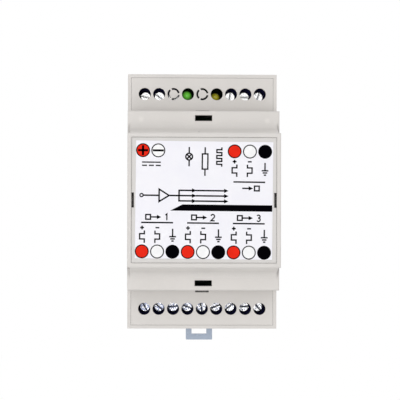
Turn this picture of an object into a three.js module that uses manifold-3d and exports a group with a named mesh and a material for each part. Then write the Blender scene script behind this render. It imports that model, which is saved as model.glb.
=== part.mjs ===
// A three-module DMX splitter for a 35 mm rail, in millimetres.
// X runs across the modules, +Z is up and the front faces -Y. The origin is the centre of the rail seat.
// A level is a height above the rail seat towards the front, so a point at a level has y = -level.
import * as THREE from "three";
import { mergeVertices } from "three/addons/utils/BufferGeometryUtils.js";
import Module from "manifold-3d";

const wasm = await Module();
wasm.setup();

// Housing envelope
const moduleWidth = 17.5;
const moduleCount = 3;
const housingWidth = moduleWidth * moduleCount;
const housingHeight = 89.6;
const frontLevel = 53;
const shoulderLevel = 45;
const terminalLevel = 31;
const footDepth = 5;
const terminalStep = 13.75;
const shoulderStep = 6.15;
const riserLean = 1.85;
const sidePlateLean = 0.15;
const shoulderHeight = housingHeight - 2 * terminalStep;
const riserFootHeight = shoulderHeight - 2 * shoulderStep;
const frontFaceHeight = riserFootHeight - 2 * riserLean;
const sideFootHeight = frontFaceHeight + 2 * sidePlateLean;

// Moulded walls of the two shells and the joint between them
const baseWall = 1.2;
const coverWall = 1.3;
const floorThickness = 1.5;
const seamGap = 0.12;
const shellClearance = 0.2;
const shoulderEdgeRadius = 0.6;
const riserFootRadius = 2.6;
const sideFootRadius = 0.4;
const sidePlate = 0.8;
const frontEdgeRadius = 0.5;
const footChamfer = 2.5;
const footEdgeRadius = 0.5;

// Rail channel, for a top-hat rail 35 wide with 1 mm flanges
const railWidth = 35;
const railFlange = 1;
const railPlay = 0.25;
const flangePlay = 0.35;
const hookReach = 1.8;
const hookTipDepth = 3.2;
const hookSlope = 2.4;
const seatHeight = 30.8;
const seatRelief = 0.3;

// Rail latch and its slot in the lower foot
const latchWidth = 9.65;
const latchThickness = 2.2;
const latchClearance = 0.2;
const latchProtrusion = 5.5;
const latchEyeWidth = 5.5;
const latchEyeHeight = 4.6;
const latchEyeBar = 2.15;
const latchNoseReach = 1.4;
const latchNoseRamp = 1.7;
const latchHeadHeight = 4.2;
const latchFingerWidth = 1.2;
const latchFingerSlot = 1;
const latchTravel = 3.5;
const latchStopGap = 0.25;
const latchCornerRadius = 0.3;
const latchSlotRoof = 1.2;
const latchStopHeight = 4;
const latchLip = 1.3;

// Front panel and its label
const bezelSide = 1.4;
const bezelEnd = 1.55;
const panelOpeningWidth = housingWidth - 2 * bezelSide;
const panelOpeningHeight = frontFaceHeight - 2 * bezelEnd;
const panelClearance = 0.06;
const panelThickness = 1.5;
const panelRecess = 0.3;
const panelLedge = 1.2;
const panelLedgeThickness = 1.2;
const panelNotchDepth = 0.8;
const panelNotchHeight = 5.1;
const ledgeNotchDepth = 0.7;
const labelSideMargin = 1.4;
const labelEndMargin = 1.4;
const labelWidth = panelOpeningWidth - 2 * labelSideMargin;
const labelHeight = panelOpeningHeight - 2 * labelEndMargin;
const labelThickness = 0.15;
const labelTilt = THREE.MathUtils.degToRad(0.55);

// Slots in the shoulders, and the tongues behind them that hold the board down
const shoulderSlotWidth = 5.9;
const shoulderSlotHeight = 1.95;
const shoulderSlotInset = 1.55;
const boardTongueThickness = 1.2;
const boardTongueWidth = 5.4;

// Snap tongues of the cover and their windows in the base's side walls
const snapWidth = 6;
const snapSpread = 28;
const snapThickness = 1;
const snapRootHeight = 4;
const snapDrop = 7;
const snapBarb = 0.8;
const snapBarbHeight = 2;
const snapPlay = 0.3;

// Covers over the two terminal rows
const terminalCoverThickness = 1.5;
const terminalCoverClearance = 0.06;
const coverHoleDiameter = 4.3;
const coverHolePitch = 5.08;
const coverHoleCount = 9;
const coverHoleInset = 6.95;
const coverHoleRow = housingHeight / 2 - coverHoleInset;
const knockoutSlotWidth = 0.65;
const knockoutWeb = 0.55;
const knockoutThickness = 0.7;
const knockoutRecessMargin = 0.25;
const prySlotWidth = 4.7;
const prySlotReach = 0.9;
const prySlotDepth = 1.1;
const skirtThickness = 0.9;
const skirtDepth = 5;
const skirtInset = 2.2;
const coverLedge = 0.8;
const coverLedgeThickness = 1.2;
const coverLedgeLength = 14;
const coverLedgeSpread = 26;
const coverPartitionDrop = 4.5;

// Circuit board and what locates it
const boardLevel = 15;
const boardThickness = 1.6;
const boardClearance = 0.35;
const boardCornerRadius = 1.2;
const postInsetX = 5.45;
const postInsetZ = 20.8;
const postDiameter = 5;
const pegDiameter = 2.4;
const pegHoleDiameter = 3;
const pegHeight = 1;
const ribInset = 13.2;
const ribRow = housingHeight / 2 - ribInset;
const ribThickness = 1.2;
const seatingGap = 0.1;

// Terminal blocks, each with three poles
const poleCount = 3;
const terminalPitch = 5;
const terminalInset = 7.55;
const terminalRow = housingHeight / 2 - terminalInset;
const blockHeight = 10;
const blockShoulder = 6.4;
const blockWireSide = 4.2;
const blockBackSide = 4;
const blockTopWireSide = 3.1;
const blockTopBackSide = 2.9;
const blockSideGap = 0.05;
const blockStandoff = 0.2;
const blockFloor = 0.5;
const chamberWidth = 4.3;
const chamberDepth = 4.8;
const chamberTop = 7.3;
const screwSeat = 7.9;
const screwWellDiameter = 4.2;
const shankHoleDiameter = 3;
const wireEntryWidth = 3.6;
const wireEntryBottom = 1;
const wireEntryTop = 5;

// Clamp screw and the cage that it lifts
const screwHeadDiameter = 3.8;
const screwHeadHeight = 1.4;
const screwHeadChamfer = 0.3;
const screwDiameter = 2.5;
const screwTipDiameter = 1.8;
const screwTipLength = 0.4;
const screwLength = 4.05;
const screwSlotWidth = 0.8;
const screwSlotDepth = 0.8;
const screwSeatGap = 0.3;
const cageWidth = 3.8;
const cageDepth = 3.6;
const cageHeight = 4.4;
const cageWall = 0.6;
const cageCollar = 1.1;
const cageCornerRadius = 0.5;
const cageThreadDiameter = 2.8;
const cageFloorGap = 0.15;

// Wire ports in the end walls
const portWidth = 3.9;
const portBottom = 0.7;
const portTop = 5.5;
const portCornerRadius = 1.3;
const portRecess = 0.7;

// Indicator lamps and the termination jumper, under the middle holes of the upper cover
const ledDiameter = 3;
const ledFlangeDiameter = 3.6;
const ledFlangeThickness = 0.8;
const ledBodyHeight = 2.6;
const ledStandoff = 6.3;
const ledLegWidth = 0.5;
const ledLegSpacing = 1.7;
const powerLedShiftX = 0.22;
const powerLedShiftZ = 0.55;
const signalLedShiftX = 0.32;
const signalLedShiftZ = 0.08;
const headerPitch = 2.54;
const headerBaseHeight = 2.5;
const headerPinWidth = 0.64;
const headerPinHeight = 4.6;
const jumperWall = 0.75;
const jumperHeight = 5.2;
const jumperPinPlay = 0.13;
const jumperSideTrim = 0.2;

// Line chips in eight-lead packages
const chipLength = 9.4;
const chipWidth = 6.4;
const chipHeight = 3.3;
const chipStandoff = 0.5;
const chipTaper = 0.35;
const chipNotchDiameter = 1.6;
const chipNotchDepth = 0.5;
const chipLeadPitch = 2.54;
const chipLeadWidth = 0.6;
const chipLeadThickness = 0.3;
const chipLeadSpan = 7.8;
const chipLeadsPerSide = 4;

// Voltage regulator with a cooling tab
const regulatorWidth = 10;
const regulatorBodyHeight = 9;
const regulatorBodyDepth = 4.4;
const regulatorTabHeight = 6.4;
const regulatorTabThickness = 1.3;
const regulatorTabHole = 3.6;
const regulatorTabHoleDrop = 2.8;
const regulatorStandoff = 3.6;
const regulatorLegWidth = 0.8;
const regulatorLegPitch = 2.54;

// Electrolytic capacitors
const inputCapacitorDiameter = 8;
const inputCapacitorHeight = 11.5;
const outputCapacitorDiameter = 6.3;
const outputCapacitorHeight = 9.5;
const capacitorEdgeRadius = 0.5;
const capacitorGrooveDepth = 0.35;
const capacitorGrooveRise = 1.6;
const capacitorGrooveHeight = 0.9;

// Wire-ended parts lying on the board
const diodeDiameter = 2.7;
const diodeLength = 5.2;
const resistorDiameter = 2.3;
const resistorWaist = 1.9;
const resistorLength = 6.3;
const resistorCapLength = 1.3;
const leadDiameter = 0.6;
const leadOverhang = 1.8;
const axialStandoff = 0.3;

// Places of the parts on the board from its centre, as shares of the housing's width and height
const regulatorShares = [-0.314, 0.191];
const inputCapacitorShares = [-0.118, 0.222];
const outputCapacitorShares = [-0.118, 0.118];
const diodeShares = [-0.276, 0.116];
const receiverShares = [0.229, 0.211];
const terminationResistorShares = [0.2, 0.318];
const powerResistorShares = [0.219, 0.111];
const signalResistorShares = [0.219, 0.067];
const driverShares = [
  [-0.267, -0.156],
  [0, -0.156],
  [0.267, -0.156],
];

// How finely round shapes are drawn, and how far a cut runs past a face
const edgeSteps = 3;
const coverSteps = 6;
const cageSteps = 1;
const arcSteps = 3;
const holeSides = 20;
const smallSides = 16;
const screwSides = 12;
const overrun = 1;

const halfWidth = housingWidth / 2;
const halfHeight = housingHeight / 2;
const halfShoulder = shoulderHeight / 2;
const railHalf = railWidth / 2;
const boardBackLevel = boardLevel - boardThickness;
const baseInnerHalf = halfWidth - baseWall;
const endInnerHalf = halfHeight - baseWall;

const materials = {
  housing: new THREE.MeshStandardMaterial({ color: 0xdbd8d2, roughness: 0.55, metalness: 0 }),
  panel: new THREE.MeshStandardMaterial({ color: 0xdedcd7, roughness: 0.55, metalness: 0 }),
  label: new THREE.MeshStandardMaterial({ color: 0xf5f4f8, roughness: 0.4, metalness: 0 }),
  latch: new THREE.MeshStandardMaterial({ color: 0xa4b0c0, roughness: 0.45, metalness: 0 }),
  board: new THREE.MeshStandardMaterial({ color: 0x1c5a34, roughness: 0.5, metalness: 0 }),
  terminal: new THREE.MeshStandardMaterial({ color: 0x1f3f9c, roughness: 0.5, metalness: 0 }),
  zinc: new THREE.MeshStandardMaterial({ color: 0xd3d7de, roughness: 0.25, metalness: 1 }),
  cage: new THREE.MeshStandardMaterial({ color: 0xc9c2a8, roughness: 0.35, metalness: 1 }),
  greenLens: new THREE.MeshStandardMaterial({ color: 0x61be3a, roughness: 0.2, metalness: 0 }),
  yellowLens: new THREE.MeshStandardMaterial({ color: 0x9b941e, roughness: 0.2, metalness: 0 }),
  black: new THREE.MeshStandardMaterial({ color: 0x17181b, roughness: 0.6, metalness: 0 }),
  can: new THREE.MeshStandardMaterial({ color: 0x23242c, roughness: 0.4, metalness: 0 }),
  resistor: new THREE.MeshStandardMaterial({ color: 0x6fa5c4, roughness: 0.5, metalness: 0 }),
};

// A closed geometry as a solid that can be joined and cut.
function solid(geometry) {
  const bare = geometry.clone();
  bare.deleteAttribute("normal");
  bare.deleteAttribute("uv");
  const welded = mergeVertices(bare);
  const triVerts = new Uint32Array(welded.index.array);
  return new wasm.Manifold(
    new wasm.Mesh({ numProp: 3, vertProperties: welded.attributes.position.array, triVerts }),
  );
}

function join(first, ...others) {
  return others.reduce((sum, other) => sum.add(other), first);
}

function cut(first, ...others) {
  return others.reduce((rest, other) => rest.subtract(other), first);
}

function mesh(name, body, material) {
  const { vertProperties, triVerts } = body.getMesh();
  const indexed = new THREE.BufferGeometry();
  indexed.setAttribute("position", new THREE.BufferAttribute(vertProperties, 3));
  indexed.setIndex(new THREE.BufferAttribute(triVerts, 1));
  const geometry = indexed.toNonIndexed();
  geometry.computeVertexNormals();
  const made = new THREE.Mesh(geometry, material);
  made.name = name;
  return made;
}

// A closed outline through corners [a, b, radius], each rounded by its own radius where it has one.
function outline(corners, Kind = THREE.Shape) {
  const path = new Kind();
  corners.forEach(([a, b, radius = 0], i) => {
    const corner = new THREE.Vector2(a, b);
    const towards = (other) => new THREE.Vector2(other[0], other[1]).sub(corner).normalize();
    const start = corner.clone().addScaledVector(towards(corners.at(i - 1)), radius);
    const end = corner.clone().addScaledVector(towards(corners[(i + 1) % corners.length]), radius);
    if (i === 0) path.moveTo(start.x, start.y);
    else path.lineTo(start.x, start.y);
    if (radius > 0) path.quadraticCurveTo(a, b, end.x, end.y);
  });
  path.closePath();
  return path;
}

function rectangle(width, height, radius = 0) {
  const [a, b] = [width / 2, height / 2];
  return [[-a, -b, radius], [a, -b, radius], [a, b, radius], [-a, b, radius]];
}

function extrusion(shape, depth, steps) {
  return new THREE.ExtrudeGeometry(shape, { depth, bevelEnabled: false, curveSegments: steps });
}

// An outline drawn in (z, level) and run across the width, centred on x.
function acrossWidth(shape, width, x = 0, steps = edgeSteps) {
  const turned = new THREE.Matrix4().set(0, 0, 1, x - width / 2, 0, -1, 0, 0, 1, 0, 0, 0, 0, 0, 0, 1);
  return solid(extrusion(shape, width, steps).applyMatrix4(turned));
}

// An outline drawn in (x, z) and raised from one level to another.
function raised(shape, [low, high], steps = edgeSteps) {
  const turned = new THREE.Matrix4().set(1, 0, 0, 0, 0, 0, -1, -low, 0, 1, 0, 0, 0, 0, 0, 1);
  return solid(extrusion(shape, high - low, steps).applyMatrix4(turned));
}

// An outline drawn in (x, level) and run up the height from one z to another.
function upHeight(shape, [low, high], steps = edgeSteps) {
  const turned = new THREE.Matrix4().set(1, 0, 0, 0, 0, -1, 0, 0, 0, 0, -1, high, 0, 0, 0, 1);
  return solid(extrusion(shape, high - low, steps).applyMatrix4(turned));
}

// A box given by its ranges of x, level and z.
function slab(x, level, z) {
  const box = new THREE.BoxGeometry(x[1] - x[0], level[1] - level[0], z[1] - z[0]);
  return solid(box.translate((x[0] + x[1]) / 2, -(level[0] + level[1]) / 2, (z[0] + z[1]) / 2));
}

// A range of one size centred on a place.
function around(place, size) {
  return [place - size / 2, place + size / 2];
}

// A round post or hole that stands at (x, z) and runs from one level to another.
function post(diameter, [low, high], x = 0, z = 0, sides = smallSides) {
  const round = new THREE.CylinderGeometry(diameter / 2, diameter / 2, high - low, sides);
  return solid(round.translate(x, -(low + high) / 2, z));
}

// A turned shape from (radius, y) points that start and end on the Y axis, with y rising.
function turned(points, sides) {
  const profile = points.map(([radius, y]) => new THREE.Vector2(radius, y));
  return solid(new THREE.LatheGeometry(profile, sides));
}

// Half the height of the riser, which leans a little, at a level between the shoulder and the front.
function riserHalf(level) {
  const along = (level - shoulderLevel) / (frontLevel - shoulderLevel);
  return THREE.MathUtils.lerp(riserFootHeight, frontFaceHeight, along) / 2;
}

// The same outline on both sides of the middle: corners for z > 0, then their mirror images.
function mirrored(corners) {
  const opposite = corners.map(([z, level, radius]) => [-z, level, radius]).reverse();
  return [...corners, ...opposite];
}

const ends = [-1, 1];
const latchRoofLevel = -latchSlotRoof;
const latchLipLevel = latchRoofLevel - latchThickness - 2 * latchClearance;
const lowerChannelEdge = -railHalf - railPlay;
const upperChannelEdge = railHalf + railPlay;
const latchBodyWidth = latchWidth + 2 * (latchFingerWidth + latchFingerSlot);

// Outer form of the base: rail seat in the middle, fixed hook above it, foot with the latch below it.
function baseOutline() {
  const hookLevel = -railFlange - flangePlay;
  const hookTip = upperChannelEdge - hookReach;
  return outline([
    [halfHeight, terminalLevel],
    [halfHeight, footChamfer - footDepth, footEdgeRadius],
    [halfHeight - footChamfer, -footDepth, footEdgeRadius],
    [hookTip + hookSlope, -footDepth],
    [hookTip, -hookTipDepth],
    [hookTip, hookLevel],
    [upperChannelEdge, hookLevel],
    [upperChannelEdge, seatRelief],
    [seatHeight / 2, seatRelief],
    [seatHeight / 2, 0],
    [-seatHeight / 2, 0],
    [-seatHeight / 2, seatRelief],
    [lowerChannelEdge, seatRelief],
    [lowerChannelEdge, -footDepth],
    [footChamfer - halfHeight, -footDepth, footEdgeRadius],
    [-halfHeight, footChamfer - footDepth, footEdgeRadius],
    [-halfHeight, terminalLevel],
  ]);
}

const seatFloorLevel = seatRelief + floorThickness;
const footFloorLevel = floorThickness - footDepth;

// The hollow of the base: shallow over the rail, deep in the two feet.
function baseCavityOutline() {
  return outline(
    mirrored([
      [endInnerHalf, terminalLevel + overrun],
      [endInnerHalf, footChamfer - footDepth],
      [halfHeight - footChamfer, footFloorLevel],
      [upperChannelEdge + floorThickness, footFloorLevel],
      [upperChannelEdge + floorThickness, seatFloorLevel],
    ]),
  );
}

// The tunnel that stands up inside the lower foot and holds the latch.
function latchTunnel() {
  const width = latchBodyWidth + 2 * latchClearance + 2 * baseWall;
  const level = [-footDepth, latchRoofLevel + floorThickness];
  return slab(around(0, width), level, [-halfHeight, lowerChannelEdge]);
}

// The slot of the latch: a wide pocket for its fingers, a neck that stops them, and a back opening.
function latchSlot() {
  const pocketWidth = latchBodyWidth + 2 * latchClearance;
  const neckWidth = latchWidth + 2 * latchClearance;
  const pocket = [latchLipLevel, latchRoofLevel];
  const behind = [-footDepth - overrun, latchRoofLevel];
  const neckTop = latchStopHeight - halfHeight;
  const upper = [neckTop, lowerChannelEdge + overrun];
  const lower = [-halfHeight - overrun, neckTop + overrun];
  return join(
    slab(around(0, pocketWidth), pocket, upper),
    slab(around(0, neckWidth), pocket, lower),
    slab(around(0, pocketWidth - 2 * latchLip), behind, upper),
    slab(around(0, neckWidth - 2 * latchLip), behind, lower),
  );
}

const portPlaces = Array.from({ length: coverHoleCount }, (_, i) => i - (coverHoleCount - 1) / 2);
const blockPoleReach = (poleCount - 1) / 2;

// The upper end has no terminal block in the middle, so its middle ports stay closed by a thin membrane.
function isOpenPort(end, index) {
  return end < 0 || Math.abs(index) > blockPoleReach;
}

function wirePorts() {
  const level = [boardLevel + portBottom, boardLevel + portTop];
  const corners = ([low, high], x) => [
    [x - portWidth / 2, low, portCornerRadius],
    [x + portWidth / 2, low, portCornerRadius],
    [x + portWidth / 2, high, portCornerRadius],
    [x - portWidth / 2, high, portCornerRadius],
  ];
  return ends.flatMap((end) =>
    portPlaces.map((index) => {
      const depth = isOpenPort(end, index) ? baseWall + overrun : portRecess;
      const range = [end * (halfHeight - depth), end * (halfHeight + overrun)].sort((a, b) => a - b);
      return upHeight(outline(corners(level, index * terminalPitch)), range, 2);
    }),
  );
}

const postPlaces = ends.flatMap((x) =>
  ends.map((z) => [x * (halfWidth - postInsetX), z * (halfHeight - postInsetZ)]),
);
const footRootLevel = footFloorLevel - floorThickness / 2;

function boardPosts() {
  return postPlaces.map(([x, z]) =>
    join(
      post(postDiameter, [footRootLevel, boardBackLevel - seatingGap], x, z),
      post(pegDiameter, [boardBackLevel - overrun, boardLevel + pegHeight], x, z, screwSides),
    ),
  );
}

function boardRibs() {
  const level = [footRootLevel, boardBackLevel - seatingGap];
  const x = around(0, housingWidth - baseWall);
  return ends.map((end) => slab(x, level, around(end * ribRow, ribThickness)));
}

// Ledges that carry the terminal covers, as outlines in (z, level) with a slanted underside.
function coverLedges(wallFace, inwards) {
  const top = terminalLevel - terminalCoverThickness - seatingGap;
  const profile = outline([
    [wallFace - inwards * baseWall / 2, top],
    [wallFace + inwards * coverLedge, top],
    [wallFace, top - coverLedgeThickness],
    [wallFace - inwards * baseWall / 2, top - coverLedgeThickness],
  ]);
  return ends.map((side) => acrossWidth(profile, coverLedgeLength, (side * coverLedgeSpread) / 2));
}

const seamLevel = terminalLevel + seamGap;
const snapTop = seamLevel - snapDrop + snapBarbHeight;

function snapWindows() {
  const level = [snapTop - snapBarbHeight - snapPlay, snapTop + snapPlay];
  return ends.flatMap((side) => {
    const x = [side * (baseInnerHalf - overrun), side * (halfWidth + overrun)].sort((a, b) => a - b);
    return ends.map((end) => slab(x, level, around((end * snapSpread) / 2, snapWidth + 2 * snapPlay)));
  });
}

function baseHousing() {
  const form = acrossWidth(baseOutline(), housingWidth);
  const shell = cut(form, acrossWidth(baseCavityOutline(), housingWidth - 2 * baseWall));
  const tunnel = form.intersect(latchTunnel());
  const ledges = ends.flatMap((end) => coverLedges(end * endInnerHalf, -end));
  const fitted = join(shell, tunnel, ...boardPosts(), ...boardRibs(), ...ledges);
  return cut(fitted, latchSlot(), ...wirePorts(), ...snapWindows());
}

// The cover's own outline, from the seam over the shoulders to the front bezel, for a riser that
// starts from a foot of this height and radius.
function coverOutline(footHeight, footRadius) {
  return outline(
    mirrored([
      [halfShoulder, seamLevel],
      [halfShoulder, shoulderLevel, shoulderEdgeRadius],
      [footHeight / 2, shoulderLevel, footRadius],
      [frontFaceHeight / 2, frontLevel, frontEdgeRadius],
    ]),
  );
}

const panelLevel = frontLevel - panelRecess;
const panelSeatLevel = panelLevel - panelThickness;
const ledgeUnderLevel = panelSeatLevel - panelLedgeThickness;
const coverInnerShoulder = shoulderLevel - coverWall;

function coverCavityOutline() {
  return outline(
    mirrored([
      [halfShoulder - coverWall, seamLevel - overrun],
      [halfShoulder - coverWall, coverInnerShoulder],
      [riserHalf(coverInnerShoulder) - coverWall, coverInnerShoulder],
      [riserHalf(ledgeUnderLevel) - coverWall, ledgeUnderLevel],
    ]),
  );
}

const partitionWidth = housingWidth - 2 * baseWall - 2 * shellClearance;
const slotOuterEdge = halfShoulder - shoulderSlotInset;

// End walls of the cover that run down between the base's sides, behind the terminal covers.
function partitions() {
  return ends.map((end) => {
    const z = [end * (halfShoulder - coverWall), end * halfShoulder].sort((a, b) => a - b);
    return slab(around(0, partitionWidth), [terminalLevel - coverPartitionDrop, seamLevel + overrun], z);
  });
}

// Tongues with a barb, which reach down inside the base's sides and catch in its windows.
function snapTongues() {
  const outer = baseInnerHalf - shellClearance;
  const inner = outer - snapThickness;
  const low = seamLevel - snapDrop;
  return ends.flatMap((side) => {
    const profile = outline([
      [side * inner, seamLevel + snapRootHeight],
      [side * (halfWidth - coverWall / 2), seamLevel + snapRootHeight],
      [side * (halfWidth - coverWall / 2), seamLevel],
      [side * outer, seamLevel],
      [side * outer, snapTop],
      [side * (outer + snapBarb), snapTop],
      [side * outer, low],
      [side * inner, low],
    ]);
    return ends.map((end) => upHeight(profile, around((end * snapSpread) / 2, snapWidth)));
  });
}

function boardTongues() {
  return ends.map((end) => {
    const outer = slotOuterEdge - shoulderSlotHeight;
    const z = [end * (outer - boardTongueThickness), end * outer].sort((a, b) => a - b);
    const level = [boardLevel + seatingGap, shoulderLevel - coverWall / 2];
    return slab(around(0, boardTongueWidth), level, z);
  });
}

function shoulderSlots() {
  return ends.map((end) => {
    const z = [end * (slotOuterEdge - shoulderSlotHeight), end * slotOuterEdge].sort((a, b) => a - b);
    return slab(around(0, shoulderSlotWidth), [coverInnerShoulder - overrun, shoulderLevel + overrun], z);
  });
}

// Blind pockets in the panel's ledge behind the panel's own notches, where a tool reaches under it.
function ledgeNotches() {
  const opening = panelOpeningWidth / 2;
  return ends.map((side) => {
    const x = [side * (opening - panelLedge - overrun), side * opening].sort((a, b) => a - b);
    return slab(x, [panelSeatLevel - ledgeNotchDepth, frontLevel], around(0, panelNotchHeight));
  });
}

// The leaning risers stand between two side plates, whose own risers are nearly upright.
function coverForm() {
  const sides = coverOutline(sideFootHeight, sideFootRadius);
  const middle = coverOutline(riserFootHeight, riserFootRadius);
  return join(
    acrossWidth(sides, housingWidth, 0, coverSteps),
    acrossWidth(middle, housingWidth - 2 * sidePlate, 0, coverSteps),
  );
}

function topCover() {
  const shell = cut(
    coverForm(),
    acrossWidth(coverCavityOutline(), housingWidth - 2 * coverWall),
    slab(
      around(0, panelOpeningWidth),
      [panelSeatLevel - seatingGap, frontLevel + overrun],
      around(0, panelOpeningHeight),
    ),
    slab(
      around(0, panelOpeningWidth - 2 * panelLedge),
      [ledgeUnderLevel - overrun, frontLevel],
      around(0, panelOpeningHeight - 2 * panelLedge),
    ),
    ...ledgeNotches(),
  );
  const ledges = ends.flatMap((end) => coverLedges(end * halfShoulder, end));
  const fitted = join(shell, ...partitions(), ...ledges, ...snapTongues());
  return join(cut(fitted, ...shoulderSlots()), ...boardTongues());
}

// The panel's frame: x and z from its centre, level from its front face.
function frontPanel() {
  const width = panelOpeningWidth - 2 * panelClearance;
  const height = panelOpeningHeight - 2 * panelClearance;
  const plate = raised(outline(rectangle(width, height)), [-panelThickness, 0]);
  const notches = ends.map((side) => {
    const x = [side * (width / 2 - panelNotchDepth), side * (width / 2 + overrun)].sort((a, b) => a - b);
    return slab(x, [-panelThickness - overrun, overrun], around(0, panelNotchHeight));
  });
  return cut(plate, ...notches);
}

function frontLabel() {
  return raised(outline(rectangle(labelWidth, labelHeight)), [0, labelThickness]);
}

// Three arcs cut round a disc, which three webs still hold.
function knockoutSlots(x, z) {
  const outer = coverHoleDiameter / 2;
  const inner = outer - knockoutSlotWidth;
  const webAngle = knockoutWeb / inner;
  const webCount = 3;
  return Array.from({ length: webCount }, (_, i) => {
    const from = (i * 2 * Math.PI) / webCount + webAngle / 2;
    const to = ((i + 1) * 2 * Math.PI) / webCount - webAngle / 2;
    const arc = new THREE.Shape();
    arc.absarc(x, z, outer, from, to, false);
    arc.absarc(x, z, inner, to, from, true);
    arc.closePath();
    return raised(arc, [-terminalCoverThickness - overrun, overrun], arcSteps);
  });
}

const coverPlateInner = halfShoulder + terminalCoverClearance;
const coverPlateOuter = endInnerHalf - terminalCoverClearance;
const coverPlateWidth = housingWidth - 2 * baseWall - 2 * terminalCoverClearance;

// A terminal cover, with level 0 at its front face and z running outwards from the housing's middle.
function terminalCover(closedHoles) {
  const z = [coverPlateInner, coverPlateOuter];
  const plate = slab(around(0, coverPlateWidth), [-terminalCoverThickness, 0], z);
  const skirts = ends.map((side) => {
    const faces = [side * (coverPlateWidth / 2 - skirtThickness), (side * coverPlateWidth) / 2];
    const x = faces.sort((a, b) => a - b);
    const level = [-terminalCoverThickness - skirtDepth, -terminalCoverThickness / 2];
    return slab(x, level, [coverPlateInner + skirtInset, coverPlateOuter - skirtInset]);
  });
  const prySlot = slab(
    around(0, prySlotWidth),
    [-prySlotDepth, overrun],
    [coverPlateInner - overrun, coverPlateInner + prySlotReach],
  );
  const holes = portPlaces.flatMap((index, i) => {
    const x = index * coverHolePitch;
    const through = [-terminalCoverThickness - overrun, overrun];
    const behindDisc = [-terminalCoverThickness - overrun, -knockoutThickness];
    if (!closedHoles.includes(i + 1)) {
      return [post(coverHoleDiameter, through, x, coverHoleRow, holeSides)];
    }
    return [
      post(coverHoleDiameter + 2 * knockoutRecessMargin, behindDisc, x, coverHoleRow, holeSides),
      ...knockoutSlots(x, coverHoleRow),
    ];
  });
  return cut(join(plate, ...skirts), prySlot, ...holes);
}

// The latch in a frame with z = 0 at the housing's lower edge and level 0 at its front face.
function railLatch() {
  const top = halfHeight + lowerChannelEdge + latchNoseReach;
  const body = latchBodyWidth / 2;
  const stem = latchWidth / 2;
  const inner = stem + latchFingerSlot;
  const headBottom = top - latchHeadHeight;
  const fingerTip = latchStopHeight + latchTravel + latchStopGap;
  const half = [
    [stem, -latchProtrusion, latchCornerRadius],
    [stem, headBottom],
    [inner, headBottom],
    [inner, fingerTip],
    [body, fingerTip, latchCornerRadius],
    [body, top],
  ];
  const eye = [latchEyeBar - latchProtrusion, latchEyeBar - latchProtrusion + latchEyeHeight];
  const ramp = outline([
    [top + overrun, -latchThickness - overrun],
    [top - latchNoseRamp, -latchThickness - overrun],
    [top - latchNoseRamp, -latchThickness],
    [top, -latchThickness / 2],
    [top + overrun, -latchThickness / 2],
  ]);
  return cut(
    raised(outline(mirroredAcross(half)), [-latchThickness, 0]),
    slab(around(0, latchEyeWidth), [-latchThickness - overrun, overrun], eye),
    acrossWidth(ramp, latchBodyWidth + overrun),
  );
}

// Corners for x > 0, then their mirror images.
function mirroredAcross(corners) {
  const opposite = corners.map(([x, z, radius]) => [-x, z, radius]).reverse();
  return [...corners, ...opposite];
}

// Parts on the board are drawn with level 0 at the board's front face.
function circuitBoard() {
  const width = housingWidth - 2 * baseWall - 2 * boardClearance;
  const height = housingHeight - 2 * baseWall - 2 * boardClearance;
  const board = raised(outline(rectangle(width, height, boardCornerRadius)), [-boardThickness, 0]);
  const holes = postPlaces.map(([x, z]) =>
    post(pegHoleDiameter, [-boardThickness - overrun, overrun], x, z, screwSides),
  );
  return cut(board, ...holes);
}

const polePlaces = Array.from({ length: poleCount }, (_, i) => (i - blockPoleReach) * terminalPitch);

function terminalBlock() {
  const body = acrossWidth(
    outline([
      [blockWireSide, blockStandoff],
      [blockWireSide, blockShoulder],
      [blockTopWireSide, blockHeight],
      [-blockTopBackSide, blockHeight],
      [-blockBackSide, blockShoulder],
      [-blockBackSide, blockStandoff],
    ]),
    poleCount * terminalPitch - 2 * blockSideGap,
  );
  const hollows = polePlaces.flatMap((x) => [
    slab(around(x, chamberWidth), [blockStandoff + blockFloor, chamberTop], around(0, chamberDepth)),
    slab(around(x, wireEntryWidth), [wireEntryBottom, wireEntryTop], [0, blockWireSide + overrun]),
    post(screwWellDiameter, [screwSeat, blockHeight + overrun], x),
    post(shankHoleDiameter, [chamberTop - overrun, screwSeat + overrun], x, 0, screwSides),
  ]);
  return cut(body, ...hollows);
}

// The clamp screw, with its axis on Y, the underside of its head at y = 0 and its tip at +y.
function clampScrew() {
  const [head, shank, tip] = [screwHeadDiameter / 2, screwDiameter / 2, screwTipDiameter / 2];
  const body = turned(
    [
      [0, -screwHeadHeight],
      [head - screwHeadChamfer, -screwHeadHeight],
      [head, screwHeadChamfer - screwHeadHeight],
      [head, 0],
      [shank, 0],
      [shank, screwLength - screwTipLength],
      [tip, screwLength],
      [0, screwLength],
    ],
    screwSides,
  );
  const slotLevel = [screwHeadHeight - screwSlotDepth, screwHeadHeight + overrun];
  return cut(body, slab(around(0, screwHeadDiameter + overrun), slotLevel, around(0, screwSlotWidth)));
}

// The lifted cage: a square loop that the wire enters along z, with the thread in its collar.
function clampCage() {
  const corners = rectangle(cageWidth, cageHeight, cageCornerRadius);
  const loop = outline(corners.map(([x, level, radius]) => [x, level + cageHeight / 2, radius]));
  const side = cageWidth / 2 - cageWall;
  loop.holes.push(
    outline(
      [
        [-side, cageWall],
        [side, cageWall],
        [side, cageHeight - cageCollar],
        [-side, cageHeight - cageCollar],
      ],
      THREE.Path,
    ),
  );
  const body = upHeight(loop, around(0, cageDepth), cageSteps);
  const thread = [cageHeight - cageCollar - cageWall / 2, cageHeight + overrun];
  return cut(body, post(cageThreadDiameter, thread, 0, 0, screwSides));
}

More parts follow.
